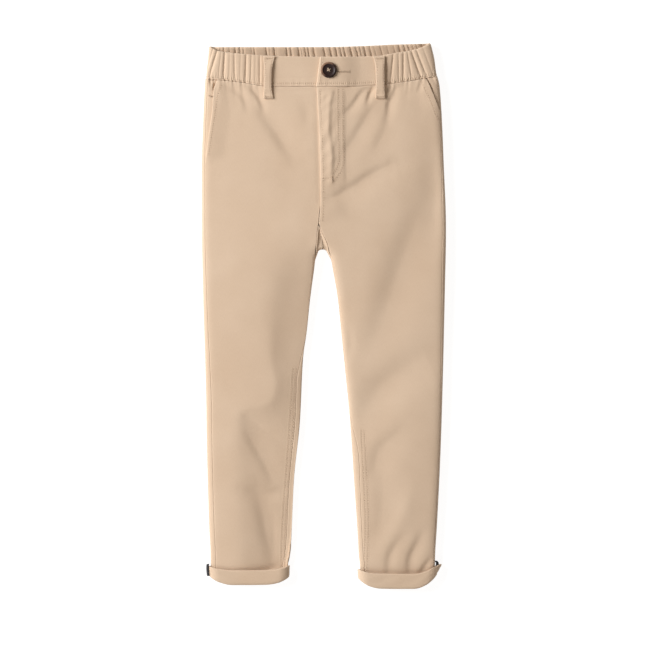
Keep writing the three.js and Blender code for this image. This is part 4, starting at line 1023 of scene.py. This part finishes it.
def elastic_lines(ups):
    """Rows round the elastic band, from the left loop round the back to the right loop, as points in mm."""
    def place(layer, top):
        def at(x, up, t):
            down = band_down(x, up, layer)
            return np.stack([x, TOP_Y - down, face(x, down, top)], axis=-1)
        return at

    def fold(side):
        return SIGN[side] * read(SIDES, side, band_down(SIGN[side] * BAND_FOLDS_AT, ups))

    left, right = fold("left"), fold("right")
    start = np.full(len(ups), FLAT_BAND["left"] - HALF_GAP)
    end = np.full(len(ups), FLAT_BAND["right"] + HALF_GAP)
    return np.concatenate([
        run((start, ups), (left, ups), place("front", 1), 200),
        run((left, ups), (right, ups), place("back", -1), 400)[:, 1:],
        run((right, ups), (end, ups), place("front", 1), 200)[:, 1:],
    ], axis=1)


def valleys(distance, up, table):
    """How far gathers sink at distances along the band: sharp valleys between soft, flat-topped ridges."""
    total = np.zeros(distance.shape)
    for at_top, at_foot, depth, width in table:
        middle = at_foot + (at_top - at_foot) * up
        swell = depth * (0.45 + 0.55 * np.sin(np.pi * (0.08 + 0.84 * up)))
        total += swell * np.exp(-(abs(distance - middle) / width) ** 1.15)
    return 1.5 * np.tanh(total / 1.5)


def elastic_band():
    height = ELASTIC_HEIGHT
    ups = across_band(height, np.linspace(0.03, 0.97, 26)[1:-1])
    lines = elastic_lines(ups)
    stops = lambda length: np.linspace(0, length, ELASTIC_COLUMNS)
    grid = np.array([pick(line, stops) for line in lines])
    middle = grid[len(ups) // 2]
    walked = np.concatenate([[0], np.cumsum(np.linalg.norm(np.diff(middle, axis=0), axis=1))])
    turns = [int(np.argmin(middle[:, 0])), int(np.argmax(middle[:, 0]))]
    left_part, back_part, right_part = slice(0, turns[0]), slice(turns[0], turns[1]), slice(turns[1], None)
    on_left = lambda x: np.interp(-x, -middle[left_part, 0], walked[left_part])
    on_back = lambda x: np.interp(x, middle[back_part, 0], walked[back_part])
    on_right = lambda x: np.interp(-x, -middle[right_part, 0], walked[right_part])
    rng = np.random.default_rng(7)
    outside = []
    for top_x, foot_x, depth in FRONT_GATHERS:
        where = on_left if top_x < 0 else on_right
        outside.append((float(where(top_x)), float(where(foot_x)), depth**1.3, 0.8 + 0.55 * depth))
    place = walked[turns[0]] + 3.0
    while place < walked[turns[1]] - 3:
        lean = rng.uniform(-1.6, 1.6)
        depth = rng.uniform(0.35, 1.0)
        outside.append((place + lean, place - lean, depth, 0.9 + 0.5 * depth))
        place += rng.uniform(4.0, 9.5)
    inside = [(float(on_back(x)), float(on_back(x + 0.8 * math.sin(x))), 1.25 * depth**1.2, 0.8 + 0.4 * depth)
              for x, depth in BACK_GATHERS]
    for start, end in ((4.0, walked[turns[0]]), (walked[turns[1]] + 2, walked[-1])):
        place = start
        while place < end:
            depth = rng.uniform(0.3, 0.9)
            inside.append((place, place + rng.uniform(-1, 1), depth, 1.2))
            place += rng.uniform(5, 9)
    distance = np.tile(walked, (len(ups), 1))
    up = ups[:, None]
    normal = grid_normals(grid, -1.0)
    normal[..., 1] = 0
    normal /= np.linalg.norm(normal, axis=-1, keepdims=True)
    fine = 0.12 * np.sin(distance * 2.6 + 3 * np.sin(distance * 0.37)) * np.exp(-((up - 0.12) / 0.13) ** 2)
    full = 0.3 * np.sin(np.pi * np.clip((up - 0.12) / 0.86, 0, 1)) ** 0.7 - 0.3
    sunk = GATHER_DEPTH * valleys(distance, up, outside) - fine - full
    raised = 1.5 * valleys(distance, up, inside)
    on_back = smooth((distance - walked[turns[0]] - 6) / 14) * smooth((walked[turns[1]] - 6 - distance) / 14)
    curl = WAIST_CURL * on_back * np.clip((up - 0.5) / 0.5, 0, 1) ** 1.3
    from_seam = up * height
    edge = np.minimum(from_seam, height - from_seam) + 0 * distance
    edge = np.minimum(edge, np.minimum(distance, walked[-1] - distance))
    over = rounding(edge, BAND)
    outer = grid - normal * (sunk + over)[..., None]
    inner = grid - normal * (np.maximum(3.4 - raised, sunk + 1.1) - np.minimum(over, 1.1))[..., None]
    outer[..., 2] = np.maximum(outer[..., 2], 0) + curl
    inner[..., 2] += curl
    uv = np.stack([distance, TOP_Y - grid[..., 1]], axis=-1) / 1000
    marks = {"stitch": abs(from_seam - 2.8) + 0 * distance, "edge": np.clip(edge, 0, 9)}
    piece = cloth_mesh("elastic_band", outer, inner, -1.0, uv, None, marks)
    piece.data.materials.append(band_twill)
    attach(piece, "root")
    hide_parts("waistband_elastic")
    return outer, ups


band_outer, band_ups = elastic_band()


def elastic_stitches(at_up):
    """Stitches lie on the band's own outer points, a constant height above the seam."""
    row = int(np.argmin(abs(band_ups - at_up)))
    line = band_outer[row]
    above = band_outer[row + 1]
    walked = np.concatenate([[0], np.cumsum(np.linalg.norm(np.diff(line, axis=0), axis=1))])
    middles = np.arange(1.5, walked[-1] - 1, 2.6)
    at = lambda rows, distance: np.column_stack([np.interp(distance, walked, rows[:, i]) for i in range(3)])
    centre, along = at(line, middles), at(line, middles + 0.9) - at(line, middles - 0.9)
    normal = np.cross(along, at(above, middles) - centre)
    unit = lambda v: v / np.linalg.norm(v, axis=1, keepdims=True)
    return centre, unit(along), unit(normal)


thread_mesh("elastic_stitches", [elastic_stitches(0.085)], 1.9)

# Belt loops
# Two narrow folded strips of twill with a row of stitches along each edge, bartacked under the band's top
# edge and below its seam, standing a little away from the band between.
LOOP = {"width": 10.5, "length": 47.0, "thick": 1.7, "top": 14.6, "bottom": 61.4, "stand": 1.5}
LOOP_X = {"left": -61.2, "right": 61.6}
LOOP_STAND = {"t": [0, 0.1, 0.2, 0.3, 0.5, 0.7, 0.8, 0.9, 1],
              "share": [0.12, 0.14, 0.8, 1, 0.95, 1, 0.8, 0.14, 0.12]}
LOOP_EDGES = {  # how far each edge strays from the straight strip, outward positive
    "left": {"t": [0, 0.15, 0.35, 0.7, 1], "low": [0, 0, 0, 0.2, 0], "high": [2.4, 0.6, -0.8, -1.2, 0.2]},
    "right": {"t": [0, 0.15, 0.35, 0.7, 1], "low": [-2.4, -0.8, 0.2, 0.4, 0], "high": [0, 0, 0, 0.2, 0]},
}


def belt_loop(side):
    t = across_band(LOOP["length"], np.linspace(0.03, 0.97, 46)[1:-1])[:, None]
    down = LOOP["top"] + (LOOP["bottom"] - LOOP["top"]) * t
    low = LOOP_X[side] - LOOP["width"] / 2 + read(LOOP_EDGES[side], "low", t)
    high = LOOP_X[side] + LOOP["width"] / 2 + read(LOOP_EDGES[side], "high", t)
    share = across_band(LOOP["width"], np.linspace(0.1, 0.9, 12)[1:-1])[None, :]
    x = low + (high - low) * share
    beside = [face(LOOP_X[side] + off, down, 1) for off in (-3, 0, 3)]
    stand = read(LOOP_STAND, "share", t)
    level = np.max(beside, axis=0) + LOOP["stand"] * stand + LOOP["thick"] + 0.35
    crown = 0.12 * np.sin(down / 5.3 + 3 * share) - 0.7 * abs(2 * share - 1) ** 3 * stand
    grid = np.stack([x, TOP_Y - down + 0 * x, level + crown], axis=-1)
    width = high - low
    edge = np.minimum(np.minimum(share, 1 - share) * width, np.minimum(t, 1 - t) * LOOP["length"])
    outer, inner = walls(grid, -1.0, LOOP["thick"], edge)
    inset = abs(np.minimum(share, 1 - share) * width - 1.6)
    marks = {"stitch": inset, "edge": np.clip(edge, 0, 9)}
    uv = np.stack([x, down + 0 * x], axis=-1) / 1000
    piece = cloth_mesh(f"loop_{side}", outer, inner, -1.0, uv, None, marks)
    piece.data.materials.append(sand_twill)
    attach(piece, "root")
    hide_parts(f"belt_loop_{side}")
    return grid, t[:, 0], share[0]


for side in ("left", "right"):
    grid, t, share = belt_loop(side)
    loop_level = lambda x, down, grid=grid: np.interp(
        down, TOP_Y - grid[:, grid.shape[1] // 2, 1], grid[:, grid.shape[1] // 2, 2]) - 0.12
    edges = [[(LOOP_X[side] + way * 3.6 + 0.5 * (read(LOOP_EDGES[side], part, k)), LOOP["top"] + k * 46.8)
              for k in np.linspace(0.03, 0.97, 8)] for way, part in ((-1, "low"), (1, "high"))]
    rows = [stitches(line, loop_level) for line in edges]
    for down in (LOOP["top"] + 3.0, LOOP["bottom"] - 1.6):
        rows += tack([(LOOP_X[side] - 4.2, down), (LOOP_X[side] + 4.2, down)], loop_level, 2)
    thread_mesh(f"loop_stitches_{side}", rows, 1.9, 0.24)

# Turn-ups
# The leg's own hem, rolled up once to the outside: a ring of doubled cloth round each leg, folded at its
# foot, with its raw inside turned in and running a little way up the leg.
FLAP, FLAP_SLOT, FLAP_ROLL, FLAP_HEIGHT = 1.8, 0.6, 12.0, 15.0
FLAP_EDGE, FLAP_FOLD = 0.9, 3.2  # radius of the rounded upper edge and of the fold at the foot


def ring(size, side):
    """Places round a leg: x, z, the outward normal, and distances from the leg's outer and inner edge."""
    sign, half = SIGN[side], FLAP_HEIGHT / 2
    width = size["outer"] - size["inner"]
    near, far = size["inner"] + FLAP_ROLL, size["outer"] - FLAP_ROLL
    places = []

    def corner(edge, inward, angle, is_outer):
        away = FLAP_ROLL * (1 - math.cos(angle))
        nx, nz = -inward * math.cos(angle) * half, math.sin(angle) * FLAP_ROLL
        length = math.hypot(nx, nz)
        from_outer, from_inner = (away, width - away) if is_outer else (width - away, away)
        place_x, place_z = sign * (edge + inward * away), half * (1 + math.sin(angle))
        places.append((place_x, place_z, sign * nx / length, nz / length, from_outer, from_inner))

    for angle in np.linspace(math.pi / 2, -math.pi / 2, 25):
        corner(size["outer"], -1, angle, True)
    for at in np.linspace(far, near, 32)[1:-1]:
        places.append((sign * at, 0.0, 0.0, -1.0, size["outer"] - at, at - size["inner"]))
    for angle in np.linspace(-math.pi / 2, math.pi / 2, 25):
        corner(size["inner"], 1, angle, False)
    for at in np.linspace(near, far, 46)[1:-1]:
        places.append((sign * at, FLAP_HEIGHT, 0.0, 1.0, size["outer"] - at, at - size["inner"]))
    return np.array(places)


def turn_up(side):
    size = TURN_UPS[side]
    x, z, nx, nz, from_outer, from_inner = ring(size, side).T
    top = size["top"] - hem_rise(size, "top_rise", from_outer, from_inner)
    fold = size["fold"] - hem_rise(size, "fold_rise", from_outer, from_inner)
    flare = size["flare"] * (1 - np.clip(from_outer / ROLL, 0, 1)) ** 1.5 * abs(nx)
    under = FLAP + FLAP_SLOT + CLOTH
    walked = np.concatenate([[0], np.cumsum(np.hypot(np.diff(x), np.diff(z)))])
    wobble = 0.3 * np.sin(walked / 9.0 + 1.3) + 0.22 * np.sin(walked / 4.7)
    top, fold = top + 0.5 * wobble, fold + 0.35 * wobble
    profile = []  # outward shift and distance down, round the section of the folded cloth
    first, last = top + FLAP_EDGE, fold - FLAP_FOLD
    for share in np.linspace(0, 1, 15):
        swell = math.sin(math.pi * share)
        waves = 0.16 * np.sin(walked / 5.1 + 4 * share) * swell
        out = flare * (1 - share) ** 0.8 - 0.4 * share + waves + 0.1 * swell
        profile.append((out, first + (last - first) * share))
    middle_out, round_out = -0.5 * (under - 0.4) - 0.4, 0.5 * (under - 0.4)
    for angle in np.radians(np.linspace(15, 165, 9)):
        profile.append((middle_out + round_out * math.cos(angle), last + FLAP_FOLD * math.sin(angle)))
    profile.append((-under + 0 * x, fold - 4.2))
    profile.append((-under + 0 * x, fold - INNER_LAYER))
    profile.append((-under + CLOTH + 0 * x, fold - INNER_LAYER))
    profile.append((-under + CLOTH + 0 * x, fold - 4.2))
    profile.append((-FLAP - 0.3 + 0 * x, fold - 2.9))
    for share in np.linspace(0.9, 0, 8):
        profile.append((flare * (1 - share) ** 0.8 - 0.4 * share - FLAP, first + (last - first) * share))
    for angle in np.radians(np.linspace(180, 0, 7)[1:-1]):
        round_over = FLAP / 2 * (math.cos(angle) - 1)
        profile.append((flare + round_over, first - FLAP_EDGE * math.sin(angle)))
    out = np.array([part[0] + 0 * x for part in profile]).T
    down = np.array([part[1] + 0 * x for part in profile]).T
    px = x[:, None] + nx[:, None] * out
    pz = np.maximum(0, z[:, None] + nz[:, None] * np.minimum(0, out - 0.1))
    grid = np.stack([px, TOP_Y - down, pz], axis=-1)
    rows, columns = grid.shape[:2]
    number = np.arange(rows * columns).reshape(rows, columns)
    a, b = number, np.roll(number, -1, axis=1)
    c, d = np.roll(b, -1, axis=0), np.roll(a, -1, axis=0)
    quads = np.stack([a, b, c, d], axis=-1).reshape(-1, 4)
    if side == "left":
        quads = quads[:, ::-1]
    mesh = bpy.data.meshes.new(f"rolled_hem_{side}")
    mesh.from_pydata((grid.reshape(-1, 3) / 1000).tolist(), [], quads.tolist())
    along = np.cumsum(np.linalg.norm(np.diff(grid, axis=1, append=grid[:, :1]), axis=2), axis=1)
    uv = np.stack([walked[:, None] + 0 * along, along], axis=-1).reshape(-1, 2) / 1000
    layer = mesh.uv_layers.new(name="cloth")
    layer.data.foreach_set("uv", uv[quads.ravel()].astype(np.float32).ravel())
    marks = {"stitch": np.full(rows * columns, 9.0), "edge": np.clip(abs(down - top[:, None]), 0, 9).ravel()}
    for mark, values in marks.items():
        attribute = mesh.attributes.new(mark, "FLOAT", "POINT")
        attribute.data.foreach_set("value", values.astype(np.float32))
    mesh.shade_smooth()
    piece = bpy.data.objects.new(f"rolled_hem_{side}", mesh)
    bpy.context.scene.collection.objects.link(piece)
    piece.data.materials.append(sand_twill)
    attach(piece, "root")
    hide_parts(f"turn_up_{side}")
    return piece


for side in ("left", "right"):
    turn_up(side)

# Black tapes
# A short woven cotton tape, sewn inside each outseam at the hem, that shows at the side of the turn-up.
TAPE = {"thick": 1.1, "half_angle": 0.62}
TAPES = {
    "left": {"half": 7.5, "roll": 13,
             "stations": [(572.8, 129.2), (577, 129.6), (581.5, 129.3), (586, 128.8)]},
    "right": {"half": 5.4, "roll": 16,
              "stations": [(569, 124.4), (571.4, 126.3), (574.5, 126.2), (576.8, 125.4)]},
}
black_tape = bpy.data.materials.new("black_tape")
black_tape.use_nodes = True
tape_tree = black_tape.node_tree
tape_shader = tape_tree.nodes["Principled BSDF"]
tape_uv = add_node(tape_tree, "ShaderNodeUVMap", uv_map="cloth").outputs["UV"]
ribs = add_node(tape_tree, "ShaderNodeTexWave", wave_type="BANDS", bands_direction="Y")
ribs.inputs["Scale"].default_value = 0.314 / 0.0006
ribs.inputs["Distortion"].default_value = 0.6
tape_tree.links.new(tape_uv, ribs.inputs["Vector"])
tape_tones = add_node(tape_tree, "ShaderNodeValToRGB")
tape_tones.color_ramp.elements[0].color = (0.006, 0.006, 0.008, 1)
tape_tones.color_ramp.elements[1].color = (0.022, 0.022, 0.028, 1)
tape_tree.links.new(ribs.outputs["Fac"], tape_tones.inputs["Fac"])
tape_tree.links.new(tape_tones.outputs["Color"], tape_shader.inputs["Base Color"])
tape_bump = add_node(tape_tree, "ShaderNodeBump")
tape_bump.inputs["Distance"].default_value = 0.0001
tape_tree.links.new(ribs.outputs["Fac"], tape_bump.inputs["Height"])
tape_tree.links.new(tape_bump.outputs["Normal"], tape_shader.inputs["Normal"])
tape_shader.inputs["Roughness"].default_value = 0.75

for side, tape in TAPES.items():
    downs, edges = np.array(tape["stations"]).T
    down = np.linspace(downs[0], downs[-1], 24)
    edge_x = np.interp(down, downs, edges)[:, None]
    angle = np.linspace(TAPE["half_angle"], -TAPE["half_angle"], 25)[None, :]
    x = SIGN[side] * (edge_x - tape["roll"] * (1 - np.cos(angle)))
    z = FLAP_HEIGHT / 2 + tape["half"] * np.sin(angle) + 0 * x
    grid = np.stack([x, TOP_Y - down[:, None] + 0 * x, z], axis=-1)
    from_end = np.minimum(down - down[0], down[-1] - down)[:, None] + 0 * x
    from_side = np.minimum(angle[0, 0] - angle, angle - angle[0, -1]) * tape["half"] + 0 * x
    normal = grid_normals(grid, -SIGN[side])
    over = rounding(np.minimum(from_end, from_side), TAPE["thick"])[..., None]
    outer, inner = grid - normal * over, grid - normal * (TAPE["thick"] - over)
    uv = np.stack([angle * tape["half"] + 0 * x, down[:, None] + 0 * x], axis=-1) / 1000
    piece = cloth_mesh(f"tape_{side}", outer, inner, -SIGN[side], uv)
    piece.data.materials.append(black_tape)
    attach(piece, "root")
    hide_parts(f"turn_up_tape_{side}")

# Button
# A turned four-hole button of dark brown horn-like plastic, with a raised rim round a dish, sewn on with
# thread.
BUTTON = {"x": 5.2, "down": 30.1, "radius": 8.8, "hole": 0.85, "ring": 2.3}
HOLE_TURN = math.pi / 7
button_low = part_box("button")[0]
button_z = button_low[2] * 1000
bpy.ops.object.select_all(action="DESELECT")
rim = BUTTON["radius"]
PROFILE = [
    (0, 0.1), (rim - 1.5, 0.1), (rim - 0.5, 0.5), (rim, 1.3), (rim - 0.25, 2.2), (rim - 1.0, 2.85),
    (rim - 1.7, 3.0), (rim - 2.3, 2.75), (rim - 2.8, 2.3), (rim - 3.6, 2.15), (3.4, 2.1), (0, 2.05),
]
mesh = bpy.data.meshes.new("brown_button")
section_edges = [(i, i + 1) for i in range(len(PROFILE) - 1)]
mesh.from_pydata([(r / 1000, 0, z / 1000) for r, z in PROFILE], section_edges, [])
button = bpy.data.objects.new("brown_button", mesh)
bpy.context.scene.collection.objects.link(button)
bpy.context.view_layer.objects.active = button
button.select_set(True)
bpy.ops.object.mode_set(mode="EDIT")
bpy.ops.mesh.select_all(action="SELECT")
bpy.ops.mesh.spin(steps=72, angle=2 * math.pi, center=(0, 0, 0), axis=(0, 0, 1))
bpy.ops.mesh.select_all(action="SELECT")
bpy.ops.mesh.remove_doubles(threshold=0.00002)
bpy.ops.mesh.normals_make_consistent(inside=False)
bpy.ops.object.mode_set(mode="OBJECT")
for k in range(4):
    turn = HOLE_TURN + k * math.pi / 2
    bpy.ops.object.select_all(action="DESELECT")
    bpy.ops.mesh.primitive_cylinder_add(
        vertices=24, radius=BUTTON["hole"] / 1000, depth=0.02,
        location=(BUTTON["ring"] / 1000 * math.cos(turn), BUTTON["ring"] / 1000 * math.sin(turn), 0))
    drill = bpy.context.object
    bpy.context.view_layer.objects.active = button
    cut = button.modifiers.new("hole", "BOOLEAN")
    cut.operation, cut.object, cut.solver = "DIFFERENCE", drill, "EXACT"
    bpy.ops.object.modifier_apply(modifier="hole")
    bpy.data.objects.remove(drill, do_unlink=True)
bpy.ops.object.select_all(action="DESELECT")
button.select_set(True)
button.location = (BUTTON["x"] / 1000, (TOP_Y - BUTTON["down"]) / 1000, button_low[2])
bpy.ops.object.transform_apply(location=True, rotation=False, scale=False)
button.data.shade_smooth()
button.data.set_sharp_from_angle(angle=math.radians(50))
brown = bpy.data.materials.new("brown_horn_rim_highlight")
brown.use_nodes = True
horn = brown.node_tree
horn_shader = horn.nodes["Principled BSDF"]
horn_place = add_node(horn, "ShaderNodeTexCoord").outputs["Object"]
centred = add_node(horn, "ShaderNodeMapping")
button_place = (BUTTON["x"] / 1000, (TOP_Y - BUTTON["down"]) / 1000, button_low[2])
centred.inputs["Location"].default_value = tuple(-part for part in button_place)
horn.links.new(horn_place, centred.inputs["Vector"])
clouds = noise(horn, centred.outputs["Vector"], 260, 3)
parts = add_node(horn, "ShaderNodeSeparateXYZ")
horn.links.new(centred.outputs["Vector"], parts.inputs[0])
radius_squared = arithmetic(horn, "ADD", arithmetic(horn, "MULTIPLY", parts.outputs[0], parts.outputs[0]),
                            arithmetic(horn, "MULTIPLY", parts.outputs[1], parts.outputs[1]))
from_middle = arithmetic(horn, "SQRT", radius_squared)
# Painted highlight: the rim is coloured a lighter tan towards the upper left, where the key light falls,
# broken up by the horn's clouds.
on_rim = add_node(horn, "ShaderNodeMapRange", interpolation_type="SMOOTHSTEP")
on_rim.inputs["From Min"].default_value, on_rim.inputs["From Max"].default_value = 0.0060, 0.0073
horn.links.new(from_middle, on_rim.inputs["Value"])
upper_left = arithmetic(horn, "SUBTRACT", parts.outputs[1], parts.outputs[0])
toward_light = arithmetic(horn, "MULTIPLY", upper_left, 55.0)
rim_highlight_tone = arithmetic(horn, "ADD", arithmetic(horn, "ADD", clouds, toward_light), -0.1)
rim_highlight_share = arithmetic(horn, "MULTIPLY", on_rim.outputs["Result"], rim_highlight_tone)
# Colours run from the dark brown horn, through a middle tone, to the tan of the painted rim highlight.
horn_and_highlight_tones = add_node(horn, "ShaderNodeValToRGB")
horn_and_highlight_tones.color_ramp.elements[0].color = (0.022, 0.0085, 0.007, 1)
horn_and_highlight_tones.color_ramp.elements[1].color = (0.23, 0.125, 0.075, 1)
horn_and_highlight_tones.color_ramp.elements[1].position = 0.8
middle_tone = horn_and_highlight_tones.color_ramp.elements.new(0.35)
middle_tone.color = (0.048, 0.020, 0.015, 1)
horn.links.new(rim_highlight_share, horn_and_highlight_tones.inputs["Fac"])
horn.links.new(horn_and_highlight_tones.outputs["Color"], horn_shader.inputs["Base Color"])
horn_bump = add_node(horn, "ShaderNodeBump")
horn_bump.inputs["Distance"].default_value = 0.00015
horn.links.new(clouds, horn_bump.inputs["Height"])
horn.links.new(horn_bump.outputs["Normal"], horn_shader.inputs["Normal"])
horn_shader.inputs["Roughness"].default_value = 0.46
horn_shader.inputs["Specular IOR Level"].default_value = 0.35
button.data.materials.append(brown)
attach(button, "root")
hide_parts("button")

# Button thread: four strands over the middle, from hole to hole in a cross
strands_on = []
for k in range(2):
    turn = HOLE_TURN + k * math.pi / 2
    toward = np.array([math.cos(turn), math.sin(turn), 0])
    sideways = np.array([-toward[1], toward[0], 0])
    for off in (-0.32, 0.32):
        middle = np.array([BUTTON["x"], TOP_Y - BUTTON["down"], button_z + 2.5 + 0.3 * k]) + sideways * off
        strands_on.append((middle[None], toward[None], np.array([[0, 0, 1.0]])))
thread_mesh("button_thread", strands_on, 2 * BUTTON["ring"] + 0.5, 0.3)

# Camera, light and floor
# The garment lies on a pale table, seen from straight above through a long lens, in soft light from the
# upper left.
LENS, SENSOR, FRAMED = 240.0, 36.0, 0.715
camera = bpy.data.objects.new("camera", bpy.data.cameras.new("camera"))
camera.data.lens, camera.data.sensor_width = LENS, SENSOR
camera.location = (0.0011, -0.0100, FRAMED * LENS / SENSOR + 0.007)
camera.data.clip_start, camera.data.clip_end = 0.1, 20.0
bpy.context.scene.collection.objects.link(camera)
bpy.context.scene.camera = camera


def soft_light(name, place, target, size, power):
    light = bpy.data.objects.new(name, bpy.data.lights.new(name, "AREA"))
    light.data.shape, light.data.size, light.data.energy = "SQUARE", size, power
    light.location = place
    away = np.array(place) - np.array(target)
    turn = math.atan2(away[0], -away[1])
    tilt = math.acos(away[2] / np.linalg.norm(away))
    light.rotation_euler = (tilt, 0, turn)
    bpy.context.scene.collection.objects.link(light)


soft_light("key_light", (-2.6, 0.95, 1.95), (0, 0, 0), 1.7, 142)
soft_light("fill_light", (-0.4, -1.2, 1.2), (0, -0.3, 0), 1.0, 4)

bpy.ops.mesh.primitive_plane_add(size=6.0, location=(0, 0, -0.0006))
floor = bpy.context.object
floor.name = "floor"
paper = bpy.data.materials.new("white_table")
paper.use_nodes = True
paper_shader = paper.node_tree.nodes["Principled BSDF"]
paper_shader.inputs["Base Color"].default_value = (0.22, 0.22, 0.22, 1)
paper_shader.inputs["Roughness"].default_value = 0.9
paper_shader.inputs["Emission Color"].default_value = (1, 1, 1, 1)
paper_shader.inputs["Emission Strength"].default_value = 0.9
floor.data.materials.append(paper)

world = bpy.data.worlds.new("studio")
world.use_nodes = True
background = world.node_tree.nodes["Background"]
background.inputs["Color"].default_value = (1.0, 0.91, 0.80, 1)
background.inputs["Strength"].default_value = 0.24
bpy.context.scene.world = world
bpy.context.scene.view_settings.view_transform = "Standard"
